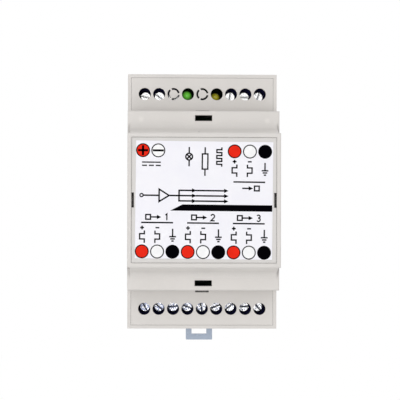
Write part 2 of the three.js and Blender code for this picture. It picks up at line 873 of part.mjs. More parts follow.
function indicatorLed() {
  const radius = ledDiameter / 2;
  const domeSteps = 4;
  const low = -ledStandoff;
  const shoulder = low - ledBodyHeight;
  const dome = Array.from({ length: domeSteps }, (_, i) => {
    const angle = ((i + 1) / domeSteps) * (Math.PI / 2);
    return [radius * Math.cos(angle), shoulder - radius * Math.sin(angle)];
  });
  dome[domeSteps - 1][0] = 0;
  const lens = turned(
    [
      [0, low],
      [ledFlangeDiameter / 2, low],
      [ledFlangeDiameter / 2, low - ledFlangeThickness],
      [radius, low - ledFlangeThickness],
      [radius, shoulder],
      ...dome,
    ].reverse(),
    smallSides,
  );
  const legs = ends.map((side) =>
    slab(
      around((side * ledLegSpacing) / 2, ledLegWidth),
      [0, ledStandoff + ledFlangeThickness / 2],
      around(0, ledLegWidth),
    ),
  );
  return join(lens, ...legs);
}

const headerPins = ends.map((end) => (end * headerPitch) / 2);

function terminationHeader() {
  const base = slab(around(0, headerPitch), [0, headerBaseHeight], around(0, 2 * headerPitch));
  const pins = headerPins.map((z) =>
    slab(
      around(0, headerPinWidth),
      [headerBaseHeight / 2, headerBaseHeight + headerPinHeight],
      around(z, headerPinWidth),
    ),
  );
  return join(base, ...pins);
}

// The jumper, with level 0 at its open end.
function terminationJumper() {
  const width = headerPitch - jumperSideTrim;
  const body = slab(around(0, width), [0, jumperHeight], around(0, width + headerPitch));
  const sockets = headerPins.map((z) =>
    slab(
      around(0, headerPinWidth + 2 * jumperPinPlay),
      [-overrun, jumperHeight - jumperWall / 2],
      around(z, headerPinWidth + 2 * jumperPinPlay),
    ),
  );
  return cut(body, ...sockets);
}

// An eight-lead package, its length along z.
function lineChip() {
  const [low, high] = [chipStandoff, chipStandoff + chipHeight];
  const middle = (low + high) / 2;
  const half = chipWidth / 2;
  const body = upHeight(
    outline([
      [chipTaper - half, low],
      [half - chipTaper, low],
      [half, middle],
      [half - chipTaper, high],
      [chipTaper - half, high],
      [-half, middle],
    ]),
    around(0, chipLength),
  );
  const notchLevel = [high - chipNotchDepth, high + overrun];
  const notch = post(chipNotchDiameter, notchLevel, 0, chipLength / 2, screwSides);
  const leads = ends.flatMap((side) =>
    Array.from({ length: chipLeadsPerSide }, (_, i) => {
      const z = around((i - (chipLeadsPerSide - 1) / 2) * chipLeadPitch, chipLeadWidth);
      const out = chipLeadSpan / 2;
      const shoulder = [side * (half - chipTaper), side * out].sort((a, b) => a - b);
      const drop = [side * (out - chipLeadThickness), side * out].sort((a, b) => a - b);
      return join(slab(shoulder, around(middle, chipLeadThickness), z), slab(drop, [0, middle], z));
    }),
  );
  return join(cut(body, notch), ...leads);
}

// The regulator stands on three legs, its cooling tab at the back, on the +z side.
function voltageRegulator() {
  const bodyTop = regulatorStandoff + regulatorBodyHeight;
  const back = regulatorBodyDepth / 2;
  const body = slab(
    around(0, regulatorWidth),
    [regulatorStandoff, bodyTop],
    [-back, back - regulatorTabThickness / 2],
  );
  const tabZ = [back - regulatorTabThickness, back];
  const tab = slab(around(0, regulatorWidth), [regulatorStandoff, bodyTop + regulatorTabHeight], tabZ);
  const hole = new THREE.CylinderGeometry(
    regulatorTabHole / 2,
    regulatorTabHole / 2,
    regulatorBodyDepth + overrun,
    smallSides,
  );
  hole.rotateX(Math.PI / 2).translate(0, -(bodyTop + regulatorTabHeight - regulatorTabHoleDrop), back);
  const legs = [-1, 0, 1].map((place) =>
    slab(
      around(place * regulatorLegPitch, regulatorLegWidth),
      [0, regulatorStandoff + regulatorLegWidth],
      around(0, regulatorLegWidth),
    ),
  );
  return join(cut(join(body, tab), solid(hole)), ...legs);
}

function capacitor(diameter, height) {
  const radius = diameter / 2;
  const waist = radius - capacitorGrooveDepth;
  return turned(
    [
      [0, 0],
      [radius, 0],
      [radius, -capacitorGrooveRise],
      [waist, -capacitorGrooveRise - capacitorGrooveHeight / 2],
      [radius, -capacitorGrooveRise - capacitorGrooveHeight],
      [radius, capacitorEdgeRadius - height],
      [radius - capacitorEdgeRadius, -height],
      [0, -height],
    ].reverse(),
    smallSides,
  );
}

// A wire-ended part lying along x: a turned body and two leads bent down to the board.
function axialPart(profile, length, diameter) {
  const axis = axialStandoff + diameter / 2;
  const body = new THREE.LatheGeometry(profile.map(([r, y]) => new THREE.Vector2(r, y)), screwSides);
  body.rotateZ(-Math.PI / 2).translate(0, -axis, 0);
  const leads = ends.map((side) => {
    const out = length / 2 + leadOverhang;
    const along = [side * (length / 2 - leadDiameter), side * out].sort((a, b) => a - b);
    const down = [side * (out - leadDiameter), side * out].sort((a, b) => a - b);
    const z = around(0, leadDiameter);
    return join(slab(along, around(axis, leadDiameter), z), slab(down, [0, axis], z));
  });
  return join(solid(body), ...leads);
}

function protectionDiode() {
  const [end, radius] = [diodeLength / 2, diodeDiameter / 2];
  return axialPart([[0, -end], [radius, -end], [radius, end], [0, end]], diodeLength, diodeDiameter);
}

function resistor() {
  const [end, radius, waist] = [resistorLength / 2, resistorDiameter / 2, resistorWaist / 2];
  const capEnd = end - resistorCapLength;
  const profile = [
    [0, -end],
    [waist, -end],
    [radius, -end + resistorCapLength / 3],
    [radius, -capEnd],
    [waist, -capEnd + resistorCapLength / 3],
    [waist, capEnd - resistorCapLength / 3],
    [radius, capEnd],
    [radius, end - resistorCapLength / 3],
    [waist, end],
    [0, end],
  ];
  return axialPart(profile, resistorLength, resistorDiameter);
}

// A block with its screws and cages, as one group. Its wire side faces up, or down once it is turned.
// Poles count from the left as seen from the front, and slot angles are read from there, from +x upwards.
function terminalStation(name, side, slotAngles) {
  const station = new THREE.Group();
  station.rotation.y = side > 0 ? 0 : Math.PI;
  station.add(mesh(`${name}_terminal_block`, terminalBlock(), materials.terminal));
  slotAngles.forEach((angle, i) => {
    const x = side * polePlaces[i];
    const screw = mesh(`${name}_screw_${i + 1}`, clampScrew(), materials.zinc);
    screw.position.set(x, -(screwSeat + screwSeatGap), 0);
    screw.rotation.y = THREE.MathUtils.degToRad(-angle);
    const cage = mesh(`${name}_cage_${i + 1}`, clampCage(), materials.cage);
    cage.position.set(x, -(blockStandoff + blockFloor + cageFloorGap), 0);
    station.add(screw, cage);
  });
  return station;
}

const splitter = new THREE.Group();
splitter.name = "dmx_splitter";

splitter.add(mesh("base_housing", baseHousing(), materials.housing));
splitter.add(mesh("top_cover", topCover(), materials.housing));

const frontGroup = new THREE.Group();
frontGroup.position.y = -panelLevel;
const label = mesh("front_label", frontLabel(), materials.label);
label.rotation.y = labelTilt;
frontGroup.add(mesh("front_panel", frontPanel(), materials.panel), label);
splitter.add(frontGroup);

// The upper cover keeps the discs of its third and fifth holes; the lower one has every hole open.
const upperClosedHoles = [3, 5];
const upperCover = mesh("terminal_cover_top", terminalCover(upperClosedHoles), materials.housing);
const lowerCover = mesh("terminal_cover_bottom", terminalCover([]), materials.housing);
upperCover.position.y = -terminalLevel;
lowerCover.position.y = -terminalLevel;
lowerCover.rotation.y = Math.PI;
splitter.add(upperCover, lowerCover);

const latch = mesh("rail_latch", railLatch(), materials.latch);
latch.position.set(0, -(latchRoofLevel - latchClearance), -halfHeight);
splitter.add(latch);

const board = new THREE.Group();
board.position.y = -boardLevel;
board.add(mesh("circuit_board", circuitBoard(), materials.board));
splitter.add(board);

// Terminal stations: name, row side, place along the row in blocks, and slot angles in degrees.
const stations = [
  ["power", 1, -1, [165, 145, 75]],
  ["input", 1, 1, [80, 178, 70]],
  ["output_1", -1, -1, [118, 138, 5]],
  ["output_2", -1, 0, [158, 100, 20]],
  ["output_3", -1, 1, [40, 0, 134]],
];
for (const [name, side, place, slotAngles] of stations) {
  const station = terminalStation(name, side, slotAngles);
  station.position.set(place * poleCount * terminalPitch, 0, side * terminalRow);
  board.add(station);
}

// A place on the board from its shares of the housing's width and height.
function boardPlace([acrossShare, alongShare]) {
  return [acrossShare * housingWidth, alongShare * housingHeight];
}

function addToBoard(name, body, material, [x, z]) {
  const made = mesh(name, body, material);
  made.position.set(x, 0, z);
  board.add(made);
  return made;
}

const powerLedPlace = [-coverHolePitch - powerLedShiftX, terminalRow + powerLedShiftZ];
addToBoard("power_led", indicatorLed(), materials.greenLens, powerLedPlace);
const signalLedPlace = [coverHolePitch - signalLedShiftX, terminalRow - signalLedShiftZ];
addToBoard("signal_led", indicatorLed(), materials.yellowLens, signalLedPlace);
addToBoard("termination_header", terminationHeader(), materials.black, [0, terminalRow]);
const jumper = addToBoard("termination_jumper", terminationJumper(), materials.black, [0, terminalRow]);
jumper.position.y = -(headerBaseHeight + seatingGap);

addToBoard("input_receiver_chip", lineChip(), materials.black, boardPlace(receiverShares));
driverShares.forEach((shares, i) => {
  addToBoard(`output_${i + 1}_driver_chip`, lineChip(), materials.black, boardPlace(shares));
});
addToBoard("voltage_regulator", voltageRegulator(), materials.black, boardPlace(regulatorShares));
const inputCan = capacitor(inputCapacitorDiameter, inputCapacitorHeight);
addToBoard("input_capacitor", inputCan, materials.can, boardPlace(inputCapacitorShares));
const outputCan = capacitor(outputCapacitorDiameter, outputCapacitorHeight);
addToBoard("output_capacitor", outputCan, materials.can, boardPlace(outputCapacitorShares));
addToBoard("protection_diode", protectionDiode(), materials.black, boardPlace(diodeShares));
for (const [name, shares] of [
  ["termination_resistor", terminationResistorShares],
  ["power_led_resistor", powerResistorShares],
  ["signal_led_resistor", signalResistorShares],
]) {
  addToBoard(name, resistor(), materials.resistor, boardPlace(shares));
}

export default splitter;
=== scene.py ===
# %% [markdown]
# # Dressing a small electronics module
# The solids of the module are already made: a stepped grey housing, its front panel with a label, two
# terminal covers, a latch, and the board with its terminals inside. This lesson gives each the finish of
# the real thing and adds what is too fine for the solids: the screws' threads, the lamps' domes, the
# contact strips and the label's print. Everything is in metres, in the solids' own frame.

# %% Load the solids
import math

import bmesh
import bpy
import numpy as np
from mathutils import Matrix, Vector


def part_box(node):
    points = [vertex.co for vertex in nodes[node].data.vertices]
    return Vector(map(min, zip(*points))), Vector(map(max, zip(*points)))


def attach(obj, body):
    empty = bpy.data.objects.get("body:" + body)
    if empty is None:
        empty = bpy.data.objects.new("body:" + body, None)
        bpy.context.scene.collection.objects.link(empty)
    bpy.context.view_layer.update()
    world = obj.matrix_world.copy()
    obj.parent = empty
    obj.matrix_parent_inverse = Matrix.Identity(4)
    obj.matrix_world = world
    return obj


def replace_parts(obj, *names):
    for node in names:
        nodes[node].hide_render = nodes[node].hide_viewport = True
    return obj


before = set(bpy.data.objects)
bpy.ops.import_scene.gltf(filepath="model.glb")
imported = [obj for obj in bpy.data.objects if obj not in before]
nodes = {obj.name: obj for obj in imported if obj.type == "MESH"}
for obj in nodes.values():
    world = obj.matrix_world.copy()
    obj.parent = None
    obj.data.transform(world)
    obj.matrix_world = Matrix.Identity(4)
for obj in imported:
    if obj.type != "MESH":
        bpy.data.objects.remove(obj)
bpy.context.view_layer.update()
MM = 0.001

# %% [markdown]
# ## Writing node trees as expressions
# A finish is easier to read as a sum than as a drawing of boxes. One class stands for a node's output
# and turns + - * / into Math nodes; another adds any other node, its settings first and then its
# sockets. The same two classes serve the shader trees and the geometry trees.


# %% Values and graphs
def operator(operation, swapped=False):
    """A method that passes a value and another term through a Math node, as they stand or swapped."""

    def method(self, other):
        terms = (other, self) if swapped else (self, other)
        return self.math(operation, *terms)

    return method


class Value:
    """The output of a node, which Python's operators pass on through Math nodes."""

    def __init__(self, graph, socket):
        self.graph = graph
        self.socket = socket

    def math(self, operation, *terms):
        return self.graph.add("ShaderNodeMath", {"operation": operation}, dict(enumerate(terms)))

    __add__ = __radd__ = operator("ADD")
    __mul__ = __rmul__ = operator("MULTIPLY")
    __sub__, __rsub__ = operator("SUBTRACT"), operator("SUBTRACT", swapped=True)
    __truediv__, __rtruediv__ = operator("DIVIDE"), operator("DIVIDE", swapped=True)
    __pow__ = operator("POWER")
    __gt__ = operator("GREATER_THAN")
    __lt__ = operator("LESS_THAN")

    def __abs__(self):
        return self.math("ABSOLUTE", self)


class Graph:
    """A node tree, with one short way to add a node to it."""

    def __init__(self, tree):
        self.tree = tree

    def add(self, kind, settings=None, inputs=None, output=0):
        node = self.tree.nodes.new(kind)
        for name, value in (settings or {}).items():
            setattr(node, name, value)
        for name, value in (inputs or {}).items():
            self.feed(node.inputs[name], value)
        return Value(self, node.outputs[output])

    def feed(self, socket, value):
        for item in value if isinstance(value, list) else [value]:
            if isinstance(item, Value):
                self.tree.links.new(item.socket, socket)
            else:
                socket.default_value = item

    def end(self, kind, value):
        """Adds the tree's output node and feeds it."""
        self.feed(self.tree.nodes.new(kind).inputs[0], value)


# %% [markdown]
# ## What every finish shares
# Each material starts from one Principled shader. Patterns read Object coordinates, so they stay on the
# piece and have a real size. Moulded and stamped edges are never knife-sharp, so a Bevel node rounds the
# shading at each edge without touching the solid, and the angle between the rounded and the true normal
# says where an edge is, which is where wear shows and where a paler tone is painted as a highlight. The
# Ambient Occlusion node gives the share of open sky, so a finish can tell the bottom of a hole and the
# foot of a step from an open face and darken them with painted shade.


# %% The base of all finishes
def tint(red, green, blue):
    """A colour as seen on a screen, from 0 to 255, in the renderer's linear values."""
    shares = (channel / 255 for channel in (red, green, blue))
    return (*(s / 12.92 if s <= 0.04045 else ((s + 0.055) / 1.055) ** 2.4 for s in shares), 1.0)


def shade(colour, factor):
    return (*(min(channel * factor, 1.0) for channel in colour[:3]), 1.0)


def distance(*parts):
    """How far a point is from a place, from its parts along the axes."""
    return sum(part * part for part in parts) ** 0.5


EDGE_TURN = (0.01, 0.2)
SKY_REACH = 12 * MM
# The colour of painted shade deep in holes and inside the housing.
DEEP_SHADOW = tint(8, 8, 10)


class Finish(Graph):
    """A material with its shader, and with the place of a point on the piece."""

    def __init__(self, name, fixed=None):
        self.material = bpy.data.materials.new(name)
        self.material.use_nodes = True
        super().__init__(self.material.node_tree)
        self.shader = self.tree.nodes["Principled BSDF"]
        for socket, value in (fixed or {}).items():
            self.shader.inputs[socket].default_value = value
        self.place = self.add("ShaderNodeTexCoord", output="Object")

    def paint(self, colour, roughness, normal, others=None):
        """Feeds the shader's sockets and returns the material."""
        sockets = {"Base Color": colour, "Roughness": roughness, "Normal": normal, **(others or {})}
        for socket, value in sockets.items():
            self.feed(self.shader.inputs[socket], value)
        return self.material

    def noise(self, blob, detail=2.0, place=None):
        """Noise around 0.5, with blobs of a size in metres."""
        inputs = {"Vector": place or self.place, "Scale": 1 / blob, "Detail": detail}
        return self.add("ShaderNodeTexNoise", {}, inputs)

    def mix(self, share, first, second):
        return self.add("ShaderNodeMix", {"data_type": "RGBA"}, {0: share, 6: first, 7: second}, 2)

    def rise(self, value, low, high):
        """A soft step from 0 at low to 1 at high."""
        inputs = {"Value": value, "From Min": low, "From Max": high}
        return self.add("ShaderNodeMapRange", {"interpolation_type": "SMOOTHSTEP"}, inputs)

    def axes(self, centre=(0, 0, 0)):
        """The x, y and z of a point from a centre."""
        inputs = {0: self.place, 1: tuple(centre)}
        moved = self.add("ShaderNodeVectorMath", {"operation": "SUBTRACT"}, inputs)
        return [self.add("ShaderNodeSeparateXYZ", {}, {0: moved}, axis) for axis in "XYZ"]

    def rounded(self, radius):
        return self.add("ShaderNodeBevel", {"samples": 4}, {"Radius": radius})

    def edges(self, rounded):
        """1 along the edges that the rounding softens, 0 on flat faces."""
        inputs = {0: rounded, 1: self.add("ShaderNodeNewGeometry", output="Normal")}
        alike = self.add("ShaderNodeVectorMath", {"operation": "DOT_PRODUCT"}, inputs, "Value")
        return self.rise(1 - alike, *EDGE_TURN)

    def sky(self, reach=SKY_REACH):
        """The share of the sky that is open: low deep in holes, about a half in corners, 1 outside."""
        return self.add("ShaderNodeAmbientOcclusion", {"samples": 8}, {"Distance": reach}, "AO")

    def bump(self, height, depth, normal=None):
        inputs = {"Height": height, "Distance": depth, "Strength": 1.0}
        if normal:
            inputs["Normal"] = normal
        return self.add("ShaderNodeBump", {}, inputs)


# %% [markdown]
# ## Moulded plastic
# The housing is light grey plastic from a spark-eroded mould. Close up it has a fine dull grain; from
# further away it is almost one colour, a touch paler where it has been handled. A plain grey would look
# like paper, so layers are mixed: a slow change of tone over centimetres, sparse specks, the grain in
# bump and roughness, and paler edges, partly wear and partly a painted highlight. Painted shade makes
# holes darker and duller with depth, and darkens the foot of some steps.

# %% Moulded finish
GRAIN = 0.2 * MM
GRAIN_DEPTH = 0.008 * MM
MOTTLE = 14 * MM
SPECK = 1.1 * MM
SPECK_SHARE = 0.06
SINK_RADIUS = 1.5 * MM
PALER = 1.14
EDGE_WEAR_AND_HIGHLIGHT = 0.55
SINK_PAINTED_HIGHLIGHT = 0.7


def moulded(
    name, colour, roughness=0.5, spread=0.02, rounding=0.3 * MM, sinks=(), foot=None, closed=None, sheen=0.5
):
    """Moulded plastic; sinks are the places of faint dents opposite a rib inside, each with a painted
    highlight, foot says where the foot of a step gets painted shade, and closed at which shares of open sky
    a hole is painted black and no longer dark."""
    finish = Finish(name, {"IOR": 1.5, "Specular IOR Level": sheen})
    rounded = finish.rounded(rounding)
    edge = finish.edges(rounded)
    slow = finish.rise(finish.noise(MOTTLE, 4), 0.3, 0.7)
    fine = finish.noise(GRAIN, 3)
    tone = finish.mix(slow, shade(colour, 1 - spread), shade(colour, 1 + spread))
    specks = finish.rise(finish.noise(SPECK, 1), 0.7, 0.78) * SPECK_SHARE
    tone = finish.mix(specks, tone, shade(colour, 0.7))
    # Sink marks: a real dent in the bump, and a paler tone on it as a painted highlight.
    dent = sum(1 - finish.rise(distance(*finish.axes(sink)), 0, SINK_RADIUS) for sink in sinks)
    if sinks:
        tone = finish.mix(dent * SINK_PAINTED_HIGHLIGHT, tone, shade(colour, PALER))
    # Paler edges: partly wear, partly a painted highlight.
    tone = finish.mix(edge * EDGE_WEAR_AND_HIGHLIGHT, tone, shade(colour, PALER))
    dullness = roughness + (fine - 0.5) * 0.3 + (slow - 0.5) * 0.06 - edge * 0.12
    # Painted shade at the foot of a step.
    if foot:
        tone = painted_foot_shade(finish, tone, colour, **foot)
    # Painted shade deep in holes: nearly black and dull.
    if closed:
        lit = finish.rise(finish.sky(), *closed)
        tone = finish.mix(lit, DEEP_SHADOW, tone)
        dullness = 1 - lit * (1 - dullness)
    return finish.paint(tone, dullness, finish.bump(fine - dent * 1.5, GRAIN_DEPTH, rounded))


def painted_foot_shade(finish, tone, colour, depth, reach, shares, behind):
    """Painted shade: the tone darker by a depth where less sky is open within a reach, only behind a level.
    """
    shaded = (1 - finish.rise(finish.sky(reach), *shares)) * (finish.axes()[1] > behind)
    return finish.mix(shaded, tone, shade(colour, 1 - depth))


# %% The plastic pieces
SHOULDER_STEP = 14 * MM
RISER_FOOT = 2.5 * MM
housing_grey = tint(222, 218, 214)
shoulder_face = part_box("base_housing")[0].y - SHOULDER_STEP
sink_places = [(-21.6 * MM, shoulder_face, 28.0 * MM), (22.1 * MM, shoulder_face, 27.6 * MM)]


def dress(finish, *names):
    """Gives solids a finish in place of the plain one that they came with."""
    for name in names:
        slots = nodes[name].data.materials
        slots.clear()
        slots.append(finish)


dress(moulded("moulded_grey_plastic", housing_grey, rounding=0.2 * MM, closed=(0.1, 0.4)), "base_housing")
lid_painted_shade = {"depth": 0.09, "reach": SKY_REACH, "shares": (0.7, 0.95), "behind": -1}
lid_look = {"rounding": 0.15 * MM, "foot": lid_painted_shade, "closed": (0.05, 0.35)}
lid_plastic = moulded("lid_grey_plastic", housing_grey, **lid_look)
dress(lid_plastic, "terminal_cover_top", "terminal_cover_bottom")
riser_painted_shade = {"depth": 0.2, "reach": 4 * MM, "shares": (0.65, 0.95), "behind": shoulder_face - RISER_FOOT}
cover_look = {"rounding": 0.7 * MM, "sinks": sink_places, "foot": riser_painted_shade, "closed": (0.1, 0.4)}
cover_plastic = moulded("cover_grey_plastic", housing_grey, **cover_look)
dress(cover_plastic, "top_cover")
dress(moulded("panel_grey_plastic", tint(219, 216, 213), roughness=0.45), "front_panel")
dress(moulded("latch_blue_grey_plastic", tint(170, 183, 202), roughness=0.38), "rail_latch")
dress(moulded("connector_black_plastic", tint(22, 22, 25), spread=0.1, sheen=0.2), "termination_jumper")
# Painted shade: the blocks' blue is darkened nearly to black, as they sit deep in the closed housing.
painted_shade_terminal_blue = moulded("terminal_blue_plastic", tint(6, 6, 50), roughness=0.6, sheen=0.08)
blocks = [name for name in nodes if name.endswith("_terminal_block")]
dress(painted_shade_terminal_blue, *blocks)
print(f"{len(blocks)} terminal blocks dressed")

# %% [markdown]
# ## Metal that has been cut, stamped and plated
# The screws are zinc plated steel, the cages nickel plated. Both are bright, so their look comes from
# what they mirror and how the surface breaks it up. Turned faces carry rings from the lathe; the rest is
# mottled. Rings need a point's distance from the screw's own axis, so a screw's points carry their place
# on it as an attribute, stored before the screw is turned and put in its place.

# %% Metal finishes
LOCAL_PLACE = "screw_place"
LATHE_RING = 0.12 * MM
RUBBED_PATCH = 0.6 * MM
SLOT_HALF = 0.33 * MM
SLOT_FLOOR = 0.82 * MM


def plated(name, colour, roughness=0.24, blob=0.5 * MM):
    finish = Finish(name, {"Metallic": 1.0})
    patches = finish.rise(finish.noise(blob, 4), 0.35, 0.65)
    fine = finish.noise(0.08 * MM, 3)
    return finish.paint(
        finish.mix(patches, shade(colour, 0.86), shade(colour, 1.06)),
        roughness + patches * 0.14 + (fine - 0.5) * 0.2,
        finish.bump(patches + fine * 0.3, 0.012 * MM, finish.rounded(0.08 * MM)),
    )


def turned_zinc():
    """Bright rings where the plating is whole, dull patches where a driver has rubbed it, and a painted
    shadow in the slot, darkest along one wall. At the lower end the patches grow, most towards the left,
    and the slot's painted shadow is deeper."""
    finish = Finish("turned_zinc", {"Metallic": 1.0})
    inputs = {"Vector": finish.add("ShaderNodeAttribute", {"attribute_name": LOCAL_PLACE}, output="Vector")}
    across, height, along = (finish.add("ShaderNodeSeparateXYZ", {}, inputs, axis) for axis in "XYZ")
    ring_place = finish.add("ShaderNodeCombineXYZ", {}, {"X": distance(across, along), "Y": height})
    rings = finish.noise(LATHE_RING, 3, ring_place)
    x, _, z = finish.axes()
    lower_end = 1 - finish.rise(z, -10 * MM, 10 * MM)
    rubbed = finish.rise(finish.noise(RUBBED_PATCH, 5) + lower_end * (0.13 - x * 2.2), 0.56, 0.68)
    in_slot = (abs(along) < SLOT_HALF) * finish.rise(height, 0.05 * MM, 0.3 * MM) * (height < SLOT_FLOOR)
    # Painted shadow in the slot: darker along one wall and at the lower end.
    shadow = in_slot * (0.3 + lower_end * 0.3 + finish.rise(along, -0.15 * MM, 0.05 * MM) * 0.6)
    tone = finish.mix(rubbed, tint(254, 254, 254), tint(146, 152, 174))
    return finish.paint(
        finish.mix(shadow.math("MINIMUM", shadow, 1.0), tone, tint(22, 24, 34)),
        0.09 + rubbed * 0.18 + (rings - 0.5) * 0.08,
        finish.bump(rings * 0.3 + rubbed, 0.02 * MM, finish.rounded(0.12 * MM)),
    )


cage_metal = plated("nickel_plated_cage", tint(214, 208, 190))
tinned_metal = plated("tinned_copper", tint(206, 208, 212), roughness=0.3, blob=0.3 * MM)
screw_metal = turned_zinc()
cages = [name for name in nodes if "_cage_" in name]
dress(cage_metal, *cages)
print(f"{len(cages)} cages dressed")

# %% [markdown]
# ## Making meshes in code
# Three helpers build nearly every mesh below. A ribbon is a line of some width and a small thickness,
# mitred at its corners: it draws strokes and rings. A plate is a filled outline with a thickness. A spun
# piece is a profile turned round the Y axis, the way that the front faces. All of them are closed.


# %% Mesh helpers
def new_mesh(name, build):
    """A closed mesh from a function that fills a bmesh."""
    bm = bmesh.new()
    build(bm)
    bmesh.ops.remove_doubles(bm, verts=bm.verts, dist=1e-7)
    bmesh.ops.recalc_face_normals(bm, faces=bm.faces)
    mesh = bpy.data.meshes.new(name)
    bm.to_mesh(mesh)
    bm.free()
    return mesh


def offsets(points, width, closed):
    """The two sides of a line of some width, mitred at its corners."""
    line = np.array(points, float)
    runs = np.roll(line, -1, axis=0) - line
    after = np.stack((-runs[:, 1], runs[:, 0]), axis=1) / np.linalg.norm(runs, axis=1, keepdims=True)
    before = np.roll(after, 1, axis=0)
    if not closed:
        before[0] = after[0]
        after[-1] = before[-1]
    middle = (before + after) / 2
    reach = middle / (middle**2).sum(axis=1, keepdims=True) * width / 2
    return list(zip(line + reach, line - reach))


def ribbon(bm, points, width, low, high, closed=False, lay=None):
    """A line in the plane of x and z with a width, from y = low to y = high."""
    lay = lay or (lambda across, along, y: (across, y, along))
    rows = [
        [bm.verts.new(lay(*side, y)) for side, y in ((left, low), (left, high), (right, high), (right, low))]
        for left, right in offsets(points, width, closed)
    ]
    for near, far in zip(rows, rows[1:] + rows[:1] if closed else rows[1:]):
        for i in range(4):
            bm.faces.new((near[i], near[i - 1], far[i - 1], far[i]))
    if not closed:
        bm.faces.new(rows[0])
        bm.faces.new(reversed(rows[-1]))


def plate(bm, outline, low, high):
    """A filled outline in the plane of x and z, from y = low to y = high."""
    back, front = ([bm.verts.new((x, y, z)) for x, z in outline] for y in (low, high))
    bm.faces.new(back)
    bm.faces.new(reversed(front))
    for i in range(len(outline)):
        bm.faces.new((back[i], back[i - 1], front[i - 1], front[i]))


def arc(centre, radius, start=0.0, end=360.0, steps=48):
    """Points on a circle, from one angle to another in degrees; a full circle leaves its last point out."""
    turns = np.radians(np.linspace(start, end, steps + 1))
    if abs(end - start) == 360:
        turns = turns[:-1]
    return [(centre[0] + radius * math.cos(t), centre[1] + radius * math.sin(t)) for t in turns]


def spun(bm, profile, steps):
    """A profile of (radius, y) spun round the Y axis; it starts and ends on the axis."""
    rings = []
    for radius, y in profile:
        count = steps if radius > 0 else 1
        angles = (2 * math.pi * i / steps for i in range(count))
        rings.append([bm.verts.new((radius * math.cos(t), y, radius * math.sin(t))) for t in angles])
    for pair in zip(rings, rings[1:]):
        for i in range(steps):
            (a, b), (c, d) = ((ring[(i - 1) % len(ring)], ring[i % len(ring)]) for ring in pair)
            bm.faces.new(list(dict.fromkeys((a, b, d, c))))


def shown(name, data):
    """A new object in the scene, at the origin."""
    obj = bpy.data.objects.new(name, data)
    bpy.context.scene.collection.objects.link(obj)
    return obj


def piece(name, mesh, finish, body, smooth=None):
    """Puts a finished mesh in the scene as a piece that rides on a body."""
    obj = shown(name, mesh)
    mesh.materials.clear()
    mesh.materials.append(finish)
    if smooth:
        mesh.shade_smooth()
        mesh.set_sharp_from_angle(angle=math.radians(smooth))
    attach(obj, body)
    return obj


def front_middle(node):
    """The middle of the face of a node's box that looks to the front."""
    low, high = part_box(node)
    return Vector(((low.x + high.x) / 2, low.y, (low.z + high.z) / 2))


def joined(name, meshes):
    """Several meshes as one."""
    return new_mesh(name, lambda bm: [bm.from_mesh(mesh) for mesh in meshes])


# %% [markdown]
# ## A tree that repeats a piece along a line
# Dots of a label, contact strips and solder joints all stand in rows. One geometry tree makes them: it
# instances a piece on the points of a line. Its inputs are the piece, how many, where the row starts
# and how far apart they are. The instances are realized and given their material inside the tree, and
# the result is copied out as a plain mesh, because only plain meshes leave the scene.


# %% The row tree
def new_tree(name, others):
    """A geometry tree as a graph, and the values of its named inputs: a shape, a finish and others."""
    tree = bpy.data.node_groups.new(name, "GeometryNodeTree")
    sockets = {"Geometry": "Geometry", "Finish": "Material", **others}
    for socket, kind in sockets.items():
        tree.interface.new_socket(socket, in_out="INPUT", socket_type=f"NodeSocket{kind}")
    tree.interface.new_socket("Geometry", in_out="OUTPUT", socket_type="NodeSocketGeometry")
    graph = Graph(tree)
    given = tree.nodes.new("NodeGroupInput")
    return graph, {socket: Value(graph, given.outputs[socket]) for socket in sockets}


def end_tree(graph, shape, finish):
    """Makes the instances real, gives them their material and ends the tree."""
    solid = graph.add("GeometryNodeRealizeInstances", {}, {"Geometry": shape})
    painted = graph.add("GeometryNodeSetMaterial", {}, {"Geometry": solid, "Material": finish})
    graph.end("NodeGroupOutput", painted)
    return graph.tree


def row_tree():
    sockets = {"Piece": "Object", "Count": "Int", "Start": "Vector", "Step": "Vector"}
    graph, value = new_tree("row_of_pieces", sockets)
    run = {"Count": value["Count"], "Start Location": value["Start"], "Offset": value["Step"]}
    line = graph.add("GeometryNodeMeshLine", {"mode": "OFFSET"}, run)
    shape = graph.add("GeometryNodeObjectInfo", {}, {"Object": value["Piece"]}, "Geometry")
    set_out = graph.add("GeometryNodeInstanceOnPoints", {}, {"Points": line, "Instance": shape})
    return end_tree(graph, set_out, value["Finish"])


def grown(tree, start_mesh, values):
    """The plain mesh that a geometry tree makes from a starting mesh, with these input values."""
    obj = shown("growing", start_mesh)
    modifier = obj.modifiers.new("tree", "NODES")
    modifier.node_group = tree
    for socket in tree.interface.items_tree:
        if socket.in_out == "INPUT" and socket.name in values:
            modifier[socket.identifier] = values[socket.name]
    evaluated = obj.evaluated_get(bpy.context.evaluated_depsgraph_get())
    mesh = bpy.data.meshes.new_from_object(evaluated)
    obj.modifiers.clear()
    bpy.data.objects.remove(obj)
    return mesh


ROW = row_tree()


def row(mesh, count, start, step, finish):
    """Copies of a mesh in a row, as one mesh."""
    master = shown("master", mesh)
    values = {"Piece": master, "Count": count, "Start": start, "Step": step, "Finish": finish}
    made = grown(ROW, bpy.data.meshes.new("empty"), values)
    bpy.data.objects.remove(master)
    return made


# %% [markdown]
# ## Clamp screws
# Fifteen slotted screws sit in the terminal blocks, and the covers' holes show little else, so they are
# worth their threads. A geometry tree takes a turned blank, cuts the slot with a boolean, winds a
# thread round the shank, remembers each point's place on the screw, and turns it to its slot's angle.
# Every screw rides on its own body, so each one is grown by itself.

# %% The screw tree
HEAD_HEIGHT = 1.4 * MM
SHANK_RADIUS = 1.1 * MM
SCREW_EDGE = 0.28 * MM
THREAD_PITCH = 0.5 * MM
CUTTER_LENGTH = 10 * MM
SLOT_ANGLES = {
    "power": (165, 145, 75),
    "input": (80, 178, 70),
    "output_1": (118, 138, 5),
    "output_2": (158, 100, 20),
    "output_3": (40, 0, 134),
}


